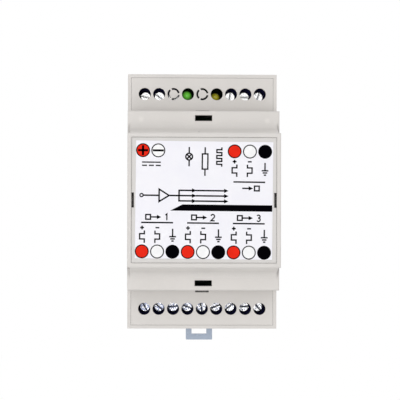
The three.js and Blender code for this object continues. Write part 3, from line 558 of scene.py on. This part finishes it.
def screw_tree():
    measures = ("Slot Width", "Slot Depth", "Slot Angle", "Shank Radius", "Ridge", "Turns", "Height")
    graph, value = new_tree("slotted_screw", {**dict.fromkeys(measures, "Float"), "Place": "Vector"})
    cutter_sides = {"X": CUTTER_LENGTH, "Y": value["Slot Depth"] * 2, "Z": value["Slot Width"]}
    size = graph.add("ShaderNodeCombineXYZ", {}, cutter_sides)
    cutter = graph.add("GeometryNodeMeshCube", {}, {"Size": size})
    cut = {"operation": "DIFFERENCE", "solver": "MANIFOLD"}
    slotted = graph.add("GeometryNodeMeshBoolean", cut, {"Mesh 1": value["Geometry"], "Mesh 2": cutter})
    winding = {
        "Resolution": 20,
        "Rotations": value["Turns"],
        "Start Radius": value["Shank Radius"],
        "End Radius": value["Shank Radius"],
        "Height": value["Height"],
    }
    spiral = graph.add("GeometryNodeCurveSpiral", {}, winding)
    ridge = graph.add("GeometryNodeCurvePrimitiveCircle", {}, {"Resolution": 4, "Radius": value["Ridge"]})
    swept = {"Curve": spiral, "Profile Curve": ridge, "Fill Caps": True}
    thread = graph.add("GeometryNodeCurveToMesh", {}, swept)
    thread_start = (0, HEAD_HEIGHT + THREAD_PITCH, 0)
    along_y = {"Geometry": thread, "Translation": thread_start, "Rotation": (-math.pi / 2, 0, 0)}
    laid = graph.add("GeometryNodeTransform", {}, along_y)
    whole = graph.add("GeometryNodeJoinGeometry", {}, {"Geometry": [slotted, laid]})
    own_place = {"Geometry": whole, "Name": LOCAL_PLACE, "Value": graph.add("GeometryNodeInputPosition")}
    remembered = graph.add("GeometryNodeStoreNamedAttribute", {"data_type": "FLOAT_VECTOR"}, own_place)
    turn = graph.add("ShaderNodeCombineXYZ", {}, {"Y": value["Slot Angle"] * -1})
    in_place = {"Geometry": remembered, "Translation": value["Place"], "Rotation": turn}
    return end_tree(graph, graph.add("GeometryNodeTransform", {}, in_place), value["Finish"])


# %% Grow the screws
def screw_blank(head, length):
    """A turned screw with its head's face at y = 0 and its tip at y = length."""
    bevel = 0.3 * SCREW_EDGE
    profile = [(0, 0), (head - SCREW_EDGE, 0), (head - bevel, bevel), (head, SCREW_EDGE), (head, HEAD_HEIGHT)]
    profile += [(SHANK_RADIUS, HEAD_HEIGHT), (SHANK_RADIUS, length - SCREW_EDGE)]
    profile += [(SHANK_RADIUS - SCREW_EDGE, length), (0, length)]
    return new_mesh("screw_blank", lambda bm: spun(bm, profile, 40))


SCREW = screw_tree()
for station, angles in SLOT_ANGLES.items():
    for number, angle in enumerate(angles, 1):
        name = f"{station}_screw_{number}"
        low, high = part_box(name)
        length = high.y - low.y
        threaded = length - HEAD_HEIGHT - 2 * THREAD_PITCH
        values = {
            "Slot Width": 0.62 * MM,
            "Slot Depth": 0.8 * MM,
            "Slot Angle": math.radians(angle),
            "Shank Radius": SHANK_RADIUS,
            "Ridge": 0.17 * MM,
            "Turns": threaded / THREAD_PITCH,
            "Height": threaded,
            "Place": front_middle(name),
            "Finish": screw_metal,
        }
        mesh = grown(SCREW, screw_blank((high.x - low.x) / 2, length), values)
        made = piece(f"{name}_turned", mesh, screw_metal, name, smooth=20)
        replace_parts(made, name)
print(f"15 screws, the last one {1000 * length:.2f} mm long with {len(mesh.polygons)} faces")

# %% [markdown]
# ## The two lamps
# Behind two of the covers' holes stand small domed lamps. The green one is lit: its glow is strongest
# in the middle of the dome and fades towards its flange. The yellow one glows faintly. A dome is a
# surface of revolution, so a spun profile makes it, and the glow is an emission colour that falls off
# with the distance from the lamp's axis. Its two legs are a metal piece of their own.

# %% Lamps
LENS_RADIUS = 1.5 * MM
LENS_SIDE = 2.6 * MM
FLANGE_HEIGHT = 0.8 * MM
FLANGE_EDGE = 0.1 * MM
LEG_WIDTH = 0.5 * MM
LEG_SPREAD = 1.7 * MM
LEG_TOP = 0.2 * MM
LEG_END = 0.5 * MM
board_low, board_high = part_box("circuit_board")


def lens_finish(name, colour, centre, glow):
    finish = Finish(name, {"IOR": 1.54, "Coat Weight": 0.6, "Emission Strength": glow})
    across, _, along = finish.axes(centre)
    core = 1 - finish.rise(distance(across, along), 0.3 * LENS_RADIUS, 1.3 * LENS_RADIUS)
    cloud = finish.noise(0.6 * MM, 2)
    # Painted shade: the lens's own colour falls to about a tenth away from the axis, on the sunk flange.
    body = finish.mix(core, shade(colour, 0.12), finish.mix(cloud, shade(colour, 0.7), colour))
    light = finish.mix(core, shade(colour, 0.1), shade(colour, 1.15))
    return finish.paint(body, 0.16 + cloud * 0.1, finish.bump(cloud, 0.01 * MM), {"Emission Color": light})


def lamp(name, colour, glow, slot):
    low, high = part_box(name)
    top = front_middle(name)
    flange = (high.x - low.x) / 2
    rim = LENS_RADIUS + LENS_SIDE
    foot = rim + FLANGE_HEIGHT
    turns = np.radians(range(80, -1, -8))
    dome = [(LENS_RADIUS * math.cos(t), LENS_RADIUS * (1 - math.sin(t))) for t in turns]
    profile = [(0, 0), *dome, (LENS_RADIUS, rim), (flange, rim + FLANGE_EDGE)]
    profile += [(flange, foot - FLANGE_EDGE), (flange - FLANGE_EDGE, foot), (0, foot)]
    mesh = new_mesh(name, lambda bm: spun(bm, profile, 48))
    mesh.transform(Matrix.Translation(top))
    finish = lens_finish(f"{name}_lens", colour, top, glow)
    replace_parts(piece(f"{name}_dome", mesh, finish, "housing", smooth=40), name)

    start, end = top.y + foot - LEG_TOP, board_low.y + LEG_END
    size = Matrix.Diagonal((LEG_WIDTH, end - start, LEG_WIDTH, 1))

    def legs(bm):
        for side in (-1, 1):
            middle = Matrix.Translation((top.x + side * LEG_SPREAD / 2, (start + end) / 2, top.z))
            bmesh.ops.create_cube(bm, size=1, matrix=middle @ size)

    piece(f"{name}_legs", new_mesh(f"{name}_legs", legs), tinned_metal, "housing")


lamp("power_led", tint(100, 190, 62), 0.55, "green_lens")
lamp("signal_led", tint(206, 196, 44), 0.2, "yellow_lens")
print(f"2 lamps with domes of {2000 * LENS_RADIUS:.1f} mm")

# %% [markdown]
# ## Contacts under the screws
# Each pole has a fixed strip that passes through its cage, turns down behind it, and goes through the
# board to a solder joint. A ribbon bent at a right angle is one strip; the row tree copies it to the
# three poles of each block. The solder joints are small spun cones, set out by the same tree.

# %% Contact strips and solder joints
STRIP_WIDTH = 2.0 * MM
STRIP_THICKNESS = 0.5 * MM
STRIP_REACH = 2.1 * MM
STRIP_RISE = 3.8 * MM
PIN_OVERHANG = 1.4 * MM
SOLDER_RADIUS = 1.0 * MM
SOLDER_SINK = 0.02 * MM
SOLDER_CONE = [(0, 0), (1, 0), (0.72, 0.25), (0.45, 0.6), (0.35, 0.85), (0, 0.85)]


def strip_mesh(inwards):
    back = inwards * STRIP_REACH
    line = [(-back, 0.0), (back, 0.0), (back, STRIP_RISE + board_high.y - board_low.y + PIN_OVERHANG)]
    half = STRIP_WIDTH / 2

    def across_x(along, depth, x):
        return (x, depth, along)

    return new_mesh("strip", lambda bm: ribbon(bm, line, STRIP_THICKNESS, -half, half, lay=across_x))


def solder_mesh(inwards):
    profile = [(SOLDER_RADIUS * reach, PIN_OVERHANG * height) for reach, height in SOLDER_CONE]
    mesh = new_mesh("solder", lambda bm: spun(bm, profile, 16))
    mesh.transform(Matrix.Translation((0, 0, inwards * STRIP_REACH)))
    return mesh


strips, joints = [], []
for station in SLOT_ANGLES:
    first, third = (sum(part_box(f"{station}_screw_{n}"), Vector()) / 2 for n in (1, 3))
    inwards = -1 if first.z > 0 else 1
    step = ((third.x - first.x) / 2, 0, 0)
    top = board_low.y - STRIP_RISE
    strips.append(row(strip_mesh(inwards), 3, (first.x, top, first.z), step, tinned_metal))
    foot = (first.x, board_high.y - SOLDER_SINK, first.z)
    joints.append(row(solder_mesh(inwards), 3, foot, step, tinned_metal))
piece("contact_strips", joined("contact_strips", strips), tinned_metal, "housing")
piece("solder_joints", joined("solder_joints", joints), tinned_metal, "housing", smooth=60)
print(f"{len(strips)} rows of contacts")

# %% [markdown]
# ## The label's film
# The label is a printed white film, a little glossier than the plastic round it and cooler in colour,
# with a faint tooth in its surface. Its solid stays; it only gets its finish here.


# %% Label film and inks
TOOTH_DEPTH = 0.002 * MM


def film_finish():
    finish = Finish("white_label_film", {"IOR": 1.48})
    tooth = finish.noise(0.09 * MM, 2)
    handled = finish.rise(finish.noise(9 * MM, 4), 0.35, 0.7)
    return finish.paint(
        finish.mix(handled, tint(246, 245, 252), tint(250, 249, 254)),
        0.38 + handled * 0.1 + (tooth - 0.5) * 0.2,
        finish.bump(tooth, TOOTH_DEPTH, finish.rounded(0.04 * MM)),
    )


def ink_finish(name, colour, sheen=0.02):
    finish = Finish(name, {"IOR": 1.5, "Specular IOR Level": sheen})
    tooth = finish.noise(0.1 * MM, 2)
    lay = finish.rise(finish.noise(3 * MM, 3), 0.3, 0.7)
    return finish.paint(
        finish.mix(lay, shade(colour, 0.94), shade(colour, 1.05)),
        0.4 + (tooth - 0.5) * 0.25,
        finish.bump(tooth, TOOTH_DEPTH),
    )


dress(film_finish(), "front_label")
red_ink = ink_finish("red_ink", tint(240, 44, 26))
black_ink = ink_finish("black_ink", tint(6, 5, 9), sheen=0.0)
white_ink = ink_finish("white_ink", tint(253, 253, 254), sheen=0.5)
print("film and 3 inks")

# %% [markdown]
# ## The label's print
# The print tells which wire goes where: a dot in the wire's colour stands for each terminal, in two
# rows that line up with the screws, with lines that group three dots to one connection. Signs say the
# rest: pulses for the two data wires, an earth sign for the common one, a lamp, a resistor and a pulse
# train over the middle holes, and one line that splits into three in the middle. All of it is thin
# closed plates on the film, in the label's own frame, a fraction of a degree out of square.

# %% Print layout, in the label's frame and in millimetres
INK_BACK = 0.006 * MM
INK_FRONT = -0.02 * MM
LABEL_TILT = math.radians(0.55)
DOT_RADIUS, DOT_PITCH, DOT_SHIFT = 2.2, 5.22, -0.2
UPPER_DOTS, LOWER_DOTS = 16.8, -17.73
DOT_OUTLINE, GROUP_LINE, SIGN_LINE = 0.36, 0.5, 0.48


def dot_x(number):
    """The x of a dot, numbered from 0 at the left to 8 at the right."""
    return (number - 4) * DOT_PITCH + DOT_SHIFT


def printed(name, meshes, finish):
    """Lays meshes from the label's frame on the film and joins them to one piece."""
    mesh = joined(name, meshes)
    mesh.transform(Matrix.Translation(front_middle("front_label")) @ Matrix.Rotation(LABEL_TILT, 4, "Y"))
    piece(name, mesh, finish, "front_panel")


def drawn(*builders):
    """One mesh from functions that each fill a bmesh."""
    return new_mesh("drawn", lambda bm: [build(bm) for build in builders])


def stroke(points, width, closed=False, layers=1):
    """A line of ink; one that crosses other ink has more layers."""
    points = [(x * MM, z * MM) for x, z in points]
    return lambda bm: ribbon(bm, points, width * MM, layers * INK_FRONT, INK_BACK, closed)


def filled(points):
    return lambda bm: plate(bm, [(x * MM, z * MM) for x, z in points], INK_FRONT, INK_BACK)


# %% Dots, set out by the row tree
circle = arc((0, 0), DOT_RADIUS)
disc = drawn(filled(circle))
outline = drawn(stroke(circle, DOT_OUTLINE, closed=True, layers=1.5))


def dots(mesh, finish, rows):
    """Rows of a dot; each row has its first place, every so many places, how often, and its height."""
    return [
        row(mesh, count, (dot_x(first) * MM, 0, height * MM), (every * DOT_PITCH * MM, 0, 0), finish)
        for first, every, count, height in rows
    ]


reds = dots(disc, red_ink, [(0, 3, 3, LOWER_DOTS), (0, 6, 2, UPPER_DOTS)])
whites = dots(disc, white_ink, [(1, 3, 3, LOWER_DOTS), (1, 6, 2, UPPER_DOTS)])
blacks = dots(disc, black_ink, [(2, 3, 3, LOWER_DOTS), (8, 1, 1, UPPER_DOTS)])
rings = dots(outline, black_ink, [(0, 1, 9, LOWER_DOTS), (0, 1, 2, UPPER_DOTS), (6, 1, 3, UPPER_DOTS)])
printed("label_red_dots", reds, red_ink)
printed("label_white_dots", whites, white_ink)
print(f"{len(rings)} rows of outlined dots, pitch {DOT_PITCH:.2f} mm")


# %% [markdown]
# ## Signs on the label
# Each sign is a few strokes in millimetres from its own middle, moved to its place. They are as high as
# small print, so from afar they read as a line of marks, and close up as signs.


# %% Signs
def pulses(height, *turns):
    """A line that starts below the middle by a height and changes sides at each turn."""
    points = []
    for start, end in zip(turns, turns[1:]):
        points += [(start, -height), (end, -height)]
        height = -height
    return points


PLUS = [[(-0.5, 0), (0.5, 0)], [(0, -0.5), (0, 0.5)]]
strokes = []


def sign(lines, x, z, scale=1.0, turned=False, width=SIGN_LINE, closed=False, layers=1):
    """Draws a sign's lines, turned a quarter if it stands on end, scaled, and moved to its place."""
    for line in lines:
        if turned:
            line = [(-b, a) for a, b in line]
        points = [(x + a * scale, z + b * scale) for a, b in line]
        strokes.append(stroke(points, width, closed, layers))


def level_line(left, right, z, width=SIGN_LINE):
    sign([[(left, z), (right, z)]], 0, 0, width=width)


def arrow_head(tip, z, length=1.5, half=0.72):
    """A filled head that points to the right."""
    strokes.append(filled([(tip - length, z + half), (tip, z), (tip - length, z - half)]))


def connection_signs(first, z):
    """A pulse on end with a plus, one with a minus, and an earth sign: a stem over three bars."""
    for number, height, mark in ((first, 0.8, PLUS), (first + 1, -0.8, PLUS[:1])):
        sign([pulses(height, -2.6, -1.3, 0.5, 1.6)], dot_x(number), z, turned=True)
        sign(mark, dot_x(number), z + 2.6, scale=1.3)
    x, top_bar = dot_x(first + 2), z - 0.4
    sign([[(0, 2.7), (0, 0)]], x, top_bar)
    for i in range(3):
        half = 1.15 - 0.38 * i
        level_line(x - half, x + half, top_bar - 0.75 * i)


def arrow_sign(start, square, z):
    """An arrow, and a small square that it leaves or reaches."""
    level_line(start, start + 2.5, z)
    arrow_head(start + 3.7, z, half=0.75)
    sign([[(-0.8, -0.8), (0.8, -0.8), (0.8, 0.8), (-0.8, 0.8)]], square, z, closed=True)


# %% Signs of the four data connections
NUMERAL_LINE = 0.42
NUMERALS = (
    [(-0.45, 0.6), (0, 1), (0, -1)],
    [*arc((0, 0.42), 0.56, 165, -35, 8), (-0.58, -0.97), (0.62, -0.97)],
    [*arc((-0.02, 0.47), 0.5, 150, -78, 8), *arc((-0.02, -0.46), 0.54, 78, -150, 8)],
)
LOWER_SIGNS, LOWER_GROUPS, LOWER_ARROWS = -12.2, -7.85, -5.95
UPPER_SIGNS, UPPER_GROUP, UPPER_ARROW = 10.7, 6.35, 4.2
for first, numeral in zip((0, 3, 6), NUMERALS):
    start, middle = dot_x(first), dot_x(first + 1)
    connection_signs(first, LOWER_SIGNS)
    level_line(start - 0.35, start + 10.55, LOWER_GROUPS, GROUP_LINE)
    arrow_sign(middle - 2.4, middle - 3.2, LOWER_ARROWS)
    sign([numeral], middle + 3.2, LOWER_ARROWS, 1.1, width=NUMERAL_LINE)
connection_signs(6, UPPER_SIGNS)
level_line(dot_x(6) - 0.3, dot_x(8) + 0.1, UPPER_GROUP, GROUP_LINE)
arrow_sign(dot_x(7) - 2.5, dot_x(7) + 2.5, UPPER_ARROW)

# %% Signs over the middle holes and on the supply's dots
sign(PLUS, dot_x(0), UPPER_DOTS, scale=3.4, width=0.75, layers=2)
sign(PLUS[:1], dot_x(1), UPPER_DOTS, scale=3.8, width=0.7, layers=2)
# Direct current: a line over three dashes.
SUPPLY_LINE, SUPPLY_SIGN, SUPPLY_GAP = 0.44, 12.2, 0.55
supply_x = (dot_x(0) + dot_x(1)) / 2 + 0.3
level_line(supply_x - 3.2, supply_x + 3.2, SUPPLY_SIGN + SUPPLY_GAP, SUPPLY_LINE)
for dash in (-2.35, 0, 2.35):
    level_line(supply_x + dash - 0.85, supply_x + dash + 0.85, SUPPLY_SIGN - SUPPLY_GAP, SUPPLY_LINE)
# A lamp: a crossed circle between two leads.
LAMP_X, RESISTOR_X, TRAIN_X = -5.3, 0.15, 5.0
HOLE_SIGNS, RESISTOR_SIGN, LAMP_RADIUS = 14.8, 13.2, 1.15
cross = LAMP_RADIUS * math.cos(math.radians(45))
sign([[(0, 3.3), (0, LAMP_RADIUS)], [(0, -LAMP_RADIUS), (0, -3.3)]], LAMP_X, HOLE_SIGNS)
sign([arc((0, 0), LAMP_RADIUS, steps=24)], LAMP_X, HOLE_SIGNS, closed=True)
sign([[(-cross, end), (cross, -end)] for end in (-cross, cross)], LAMP_X, HOLE_SIGNS)
# A resistor: an open box between two leads.
sign([[(0, 4.9), (0, 2.6)], [(0, -2.6), (0, -4.9)]], RESISTOR_X, RESISTOR_SIGN)
sign([[(-0.95, 2.6), (0.95, 2.6), (0.95, -2.6), (-0.95, -2.6)]], RESISTOR_X, RESISTOR_SIGN, closed=True)
# A pulse train on end.
sign([pulses(0.85, -3.3, -2.5, -1.5, -0.5, 0.5, 1.5, 2.5, 3.3)], TRAIN_X, HOLE_SIGNS, turned=True)

# %% The splitting line and the bare band
BOLD = 0.52
DIAGRAM_LEFT, DIAGRAM_RIGHT, DIAGRAM_MIDDLE = -22.0, 8.3, 1.45
AMPLIFIER_X, SPLIT_X, BRANCH_GAP = -15.4, -8.6, 1.8
level_line(DIAGRAM_LEFT + 1.2, AMPLIFIER_X - 0.2, DIAGRAM_MIDDLE, BOLD)
sign([arc((DIAGRAM_LEFT + 0.6, 0), 0.55, steps=20)], 0, DIAGRAM_MIDDLE, width=BOLD * 0.8, closed=True)
# An amplifier: an open triangle that points to the right.
sign([[(0, 0.62), (1, 0), (0, -0.62)]], AMPLIFIER_X, DIAGRAM_MIDDLE, 3.4, width=BOLD, closed=True)
level_line(AMPLIFIER_X + 3.6, SPLIT_X, DIAGRAM_MIDDLE, BOLD)
corner = BRANCH_GAP + BOLD / 2
sign([[(SPLIT_X, corner), (SPLIT_X, -corner)]], 0, DIAGRAM_MIDDLE, width=BOLD)
for branch in (-1, 0, 1):
    level = DIAGRAM_MIDDLE + branch * BRANCH_GAP
    level_line(SPLIT_X, -3.6, level, BOLD)
    arrow_head(-2.6, level, length=1.6)
    level_line(-3.0, DIAGRAM_RIGHT - 1.2, level, BOLD)
    arrow_head(DIAGRAM_RIGHT, level)
band = filled([(-11.6, -3.72), (-7.4, -1.55), (23.33, -1.5), (23.33, -3.68)])
strokes.append(band)
printed("label_black_print", [*blacks, *rings, drawn(*strokes)], black_ink)
print(f"{len(strokes)} strokes and plates in the black print")

# %% [markdown]
# ## The circuit board
# The board is green laminate: copper tracks show through the lacquer as paler lines, and its cut edges
# show the raw glass cloth. Real tracks run square to the edges, so the surface is divided into cells,
# and a random number for each cell says which way its tracks run. Deep in the closed housing the board
# gets painted shade: its colour fades to nearly black, and its coat to none, with the open share of sky.


# %% Board finish
TRACK_CELL = 5.2 * MM
TRACK_PITCH = 1.3 * MM
LACQUER_EDGE = 0.03 * MM


def board_finish():
    finish = Finish("green_lacquered_laminate", {"IOR": 1.5, "Specular IOR Level": 0.3})
    # Painted shade: where little sky is open, the board turns nearly black.
    sky = finish.rise(finish.sky(), 0.2, 0.7)
    x, y, z = finish.axes()
    cell = {"X": x.math("FLOOR", x / TRACK_CELL), "Y": z.math("FLOOR", z / TRACK_CELL)}
    corner = finish.add("ShaderNodeCombineXYZ", {}, cell)
    way = finish.add("ShaderNodeTexWhiteNoise", {"noise_dimensions": "3D"}, {"Vector": corner}) > 0.5
    along = x * way + z * (1 - way)
    stripe = abs(along.math("FRACT", along / TRACK_PITCH) - 0.5)
    track = 1 - finish.rise(stripe, 0.16, 0.2)
    middle = (board_low.y + board_high.y) / 2
    on_face = abs(y - middle) > (board_high.y - board_low.y) / 2 - LACQUER_EDGE
    weave = finish.noise(0.3 * MM, 2)
    lacquer = finish.mix(track, tint(10, 42, 26), tint(26, 74, 42))
    raw = finish.mix(weave, tint(150, 150, 96), tint(186, 182, 128))
    return finish.paint(
        finish.mix(sky, DEEP_SHADOW, finish.mix(on_face, raw, lacquer)),
        1 - sky * (0.3 + on_face * 0.4) + (weave - 0.5) * 0.15,
        finish.bump(track + weave * 0.2, 0.03 * MM),
        {"Coat Weight": sky * 0.25},
    )


dress(board_finish(), "circuit_board")

# %% [markdown]
# ## Parts on the board
# A chip, a capacitor or a resistor is one solid here, but two or three materials in reality: a body and
# its leads, or a sleeve and an aluminium top. The finish tells them apart by place: it reads how far a
# point is from the part's middle and turns to metal where the body ends.

# %% A finish with a body and bare metal
LEAD_GREY = tint(196, 198, 202)
LEAD_ROUGHNESS = 0.3


def body_and_metal(node, colour, metal_where, roughness=0.55, markings=None):
    """Dresses a part in its body's colour and markings, and in metal where a function of a point's place
    from the middle and of the half size says so."""
    low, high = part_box(node)
    half = (high - low) / 2
    finish = Finish(f"{node}_finish")
    x, y, z = finish.axes((low + high) / 2)
    metal = metal_where(x, y, z, half)
    grain = finish.noise(0.12 * MM, 3)
    body = finish.mix(grain, shade(colour, 0.85), shade(colour, 1.15))
    if markings:
        body = markings(finish, body, x, half)
    painted = finish.paint(
        finish.mix(metal, body, LEAD_GREY),
        roughness - metal * (roughness - LEAD_ROUGHNESS) + (grain - 0.5) * 0.2,
        finish.bump(grain, 0.006 * MM, finish.rounded(0.1 * MM)),
        {"Metallic": metal},
    )
    dress(painted, node)


def beyond(reach):
    """Leads that start at a distance from the middle, along x."""
    return lambda x, y, z, half: abs(x) > reach


CHIP_BODY_HALF = 3.22 * MM
chips = [name for name in nodes if name.endswith("_chip")]
for chip in chips:
    body_and_metal(chip, tint(30, 30, 33), beyond(CHIP_BODY_HALF))
print(f"{len(chips)} chips, body {2000 * CHIP_BODY_HALF:.1f} mm wide")

# %% Resistors with bands, the diode with its ring
BROWN, RED, BLACK, GOLD = (92, 52, 30), (196, 40, 36), (20, 20, 20), (190, 150, 60)
RESISTOR_BANDS = {
    "termination_resistor": (BROWN, RED, BROWN, GOLD),
    "power_led_resistor": (RED, RED, RED, GOLD),
    "signal_led_resistor": (BROWN, BLACK, RED, GOLD),
}
RESISTOR_BODY_HALF = 3.15 * MM
BAND_PITCH = 1.25 * MM
BAND_WIDTH = 0.5 * MM
DIODE_BODY_HALF = 2.6 * MM
DIODE_RING = (-1.6 * MM, 0.7 * MM, (205, 205, 205))


def bands(rings):
    """Painted rings across x, each with its place, width and colour."""

    def painted(finish, body, x, half):
        for place, width, colour in rings:
            body = finish.mix(abs(x - place) < width / 2, body, tint(*colour))
        return body

    return painted


for resistor, colours in RESISTOR_BANDS.items():
    rings = [((i - 1.5) * BAND_PITCH, BAND_WIDTH, colour) for i, colour in enumerate(colours)]
    body_and_metal(resistor, tint(111, 165, 196), beyond(RESISTOR_BODY_HALF), 0.4, bands(rings))
body_and_metal("protection_diode", tint(26, 26, 28), beyond(DIODE_BODY_HALF), 0.35, bands([DIODE_RING]))
print(f"{len(RESISTOR_BANDS)} resistors with bands {1000 * BAND_WIDTH:.1f} mm wide, and a diode")

# %% Capacitors, regulator and header
SLEEVE_RIM = 0.62 * MM
TOP_DEPTH = 0.25 * MM
STRIPE_START = -0.72
REGULATOR_LEGS = 3.6 * MM
REGULATOR_BODY = 9.0 * MM
HEADER_BODY = 2.52 * MM
PIN_PLACE = 1.27 * MM
PIN_HALF = 0.34 * MM


def capacitor_top(x, y, z, half):
    """Bare aluminium inside the rim of the sleeve."""
    return (distance(x, z) < half.x - SLEEVE_RIM) * (y < TOP_DEPTH - half.y)


def capacitor_stripe(finish, body, x, half):
    return finish.mix(x < STRIPE_START * half.x, body, tint(176, 180, 190))


def regulator_metal(x, y, z, half):
    """The cooling tab in front of the body, and the legs behind it."""
    from_foot = half.y - y
    return (from_foot > REGULATOR_LEGS + REGULATOR_BODY) + (from_foot < REGULATOR_LEGS)


def header_pins(x, y, z, half):
    return (abs(abs(x) - PIN_PLACE) < PIN_HALF) * (half.y - y > HEADER_BODY)


for capacitor in ("input_capacitor", "output_capacitor"):
    body_and_metal(capacitor, tint(30, 32, 58), capacitor_top, 0.35, capacitor_stripe)
body_and_metal("voltage_regulator", tint(28, 28, 30), regulator_metal)
body_and_metal("termination_header", tint(24, 24, 26), header_pins, 0.5)
print(f"2 capacitors, a regulator and a header with pins {2000 * PIN_PLACE:.2f} mm apart")

# %% [markdown]
# ## A gate mark
# Where the plastic entered the mould, the cover keeps a small round scar. It is a spun disc less than a
# tenth of a millimetre high, on the slanted face above the label, tilted to lie in that face.

# %% Gate mark
GATE_PLACE = Vector((-1.8 * MM, -51.49 * MM, 23.4 * MM))
GATE_RADIUS = 0.42 * MM
GATE_FRONT = -0.05 * MM
GATE_BACK = 0.03 * MM
GATE_LEAN = math.radians(13.0)
gate_profile = [(0, GATE_FRONT), (GATE_RADIUS * 0.7, GATE_FRONT), (GATE_RADIUS, GATE_BACK), (0, GATE_BACK)]
gate = new_mesh("gate_mark", lambda bm: spun(bm, gate_profile, 20))
gate.transform(Matrix.Translation(GATE_PLACE) @ Matrix.Rotation(-math.pi / 2 + GATE_LEAN, 4, "X"))
gate_plastic = moulded("gate_mark_plastic", shade(housing_grey, 0.62), roughness=0.6)
piece("gate_mark", gate, gate_plastic, "housing", smooth=30)
print(f"gate mark {2000 * GATE_RADIUS:.2f} mm across")

# %% [markdown]
# ## Floor, light and camera
# The module stands as in a light tent: even light from all round, a large soft lamp beside the camera,
# another behind, and a white surround. It is white only for rays that come from the camera or by way of
# a mirror or glass; what lights the module is a lower, even level, at which a colour renders about as it
# is written. The camera stands about 0.7 m off, a little to the left of the middle and below it, and
# looks slightly up and to the right.

# %% Surround
AMBIENT = 0.72
FLOOR_LEVEL = -300 * MM
FLOOR_SIZE = 8.0
SHADOW_SHARE = 0.4


def seen_directly(graph):
    """1 for rays from the camera, and for those that a mirror or glass sends on."""
    kinds = ("Is Camera Ray", "Is Glossy Ray", "Is Transmission Ray")
    seen, mirrored, through_glass = (graph.add("ShaderNodeLightPath", output=kind) for kind in kinds)
    return seen.math("MAXIMUM", seen, mirrored.math("MAXIMUM", mirrored, through_glass))


def emptied(owner):
    """The tree of a world or a material as a graph, with nothing in it."""
    owner.use_nodes = True
    owner.node_tree.nodes.clear()
    return Graph(owner.node_tree)


WHITE = (1, 1, 1, 1)
world = bpy.data.worlds.new("light_tent")
bpy.context.scene.world = world
tent = emptied(world)
even = tent.add("ShaderNodeBackground", {}, {"Color": WHITE, "Strength": AMBIENT})
white = tent.add("ShaderNodeBackground", {}, {"Color": WHITE, "Strength": 1.0})
tent_light = tent.add("ShaderNodeMixShader", {}, {0: seen_directly(tent), 1: even, 2: white})
tent.end("ShaderNodeOutputWorld", tent_light)
floor_material = bpy.data.materials.new("pale_floor")
ground = emptied(floor_material)
lit = ground.add("ShaderNodeBsdfDiffuse", {}, {"Color": (0.86, 0.86, 0.86, 1)})
shaded = ground.add("ShaderNodeBsdfDiffuse", {}, {"Color": (SHADOW_SHARE,) * 3 + (1,)})
glow = ground.add("ShaderNodeEmission", {}, {"Color": WHITE, "Strength": 1 - SHADOW_SHARE * AMBIENT})
backdrop = ground.add("ShaderNodeAddShader", {}, {0: shaded, 1: glow})
ground_light = ground.add("ShaderNodeMixShader", {}, {0: seen_directly(ground), 1: lit, 2: backdrop})
ground.end("ShaderNodeOutputMaterial", ground_light)
grid = {"x_segments": 8, "y_segments": 8, "size": FLOOR_SIZE / 2}
floor_mesh = new_mesh("floor", lambda bm: bmesh.ops.create_grid(bm, **grid))
floor_mesh.transform(Matrix.Translation((0, 0, FLOOR_LEVEL)))
floor_mesh.materials.append(floor_material)
shown("floor", floor_mesh)
print(f"floor {-FLOOR_LEVEL:.2f} m below the module")


# %% Lamps of the studio
def soft_lamp(name, place, size, light):
    """A square lamp that faces the module and gives it a share of full light."""
    data = bpy.data.lights.new(name, "AREA")
    data.size = size
    data.energy = light * math.pi**2 * place.length_squared
    lamp = shown(name, data)
    lamp.location = place
    lamp.rotation_euler = place.to_track_quat("Z", "Y").to_euler()
    print(f"{name}: {data.energy:.1f} W")


soft_lamp("key", Vector((-0.4, -1.5, -0.05)), 0.46, 0.225)
soft_lamp("back_fill", Vector((0.9, 1.3, 0.9)), 1.2, 0.22)

# %% Camera
CAMERA_PLACE = Vector((-22.14, -723.2, -13.49)) * MM
PITCH, YAW, ROLL = (math.radians(a) for a in (1.156, -1.770, -0.138))
FOCAL_PIXELS, FRAME_PIXELS = 1964.5, 400
camera_data = bpy.data.cameras.new("camera")
camera_data.sensor_fit = "HORIZONTAL"
camera_data.lens = camera_data.sensor_width * FOCAL_PIXELS / FRAME_PIXELS
camera_data.clip_start = 0.01
camera = shown("camera", camera_data)
aim = Matrix.Rotation(YAW, 4, "Z") @ Matrix.Rotation(PITCH, 4, "X") @ Matrix.Rotation(ROLL, 4, "Y")
camera.matrix_world = Matrix.Translation(CAMERA_PLACE) @ aim @ Matrix.Rotation(math.pi / 2, 4, "X")
bpy.context.scene.camera = camera
bpy.context.scene.view_settings.view_transform = "Standard"
print(f"lens {camera_data.lens:.1f} mm")
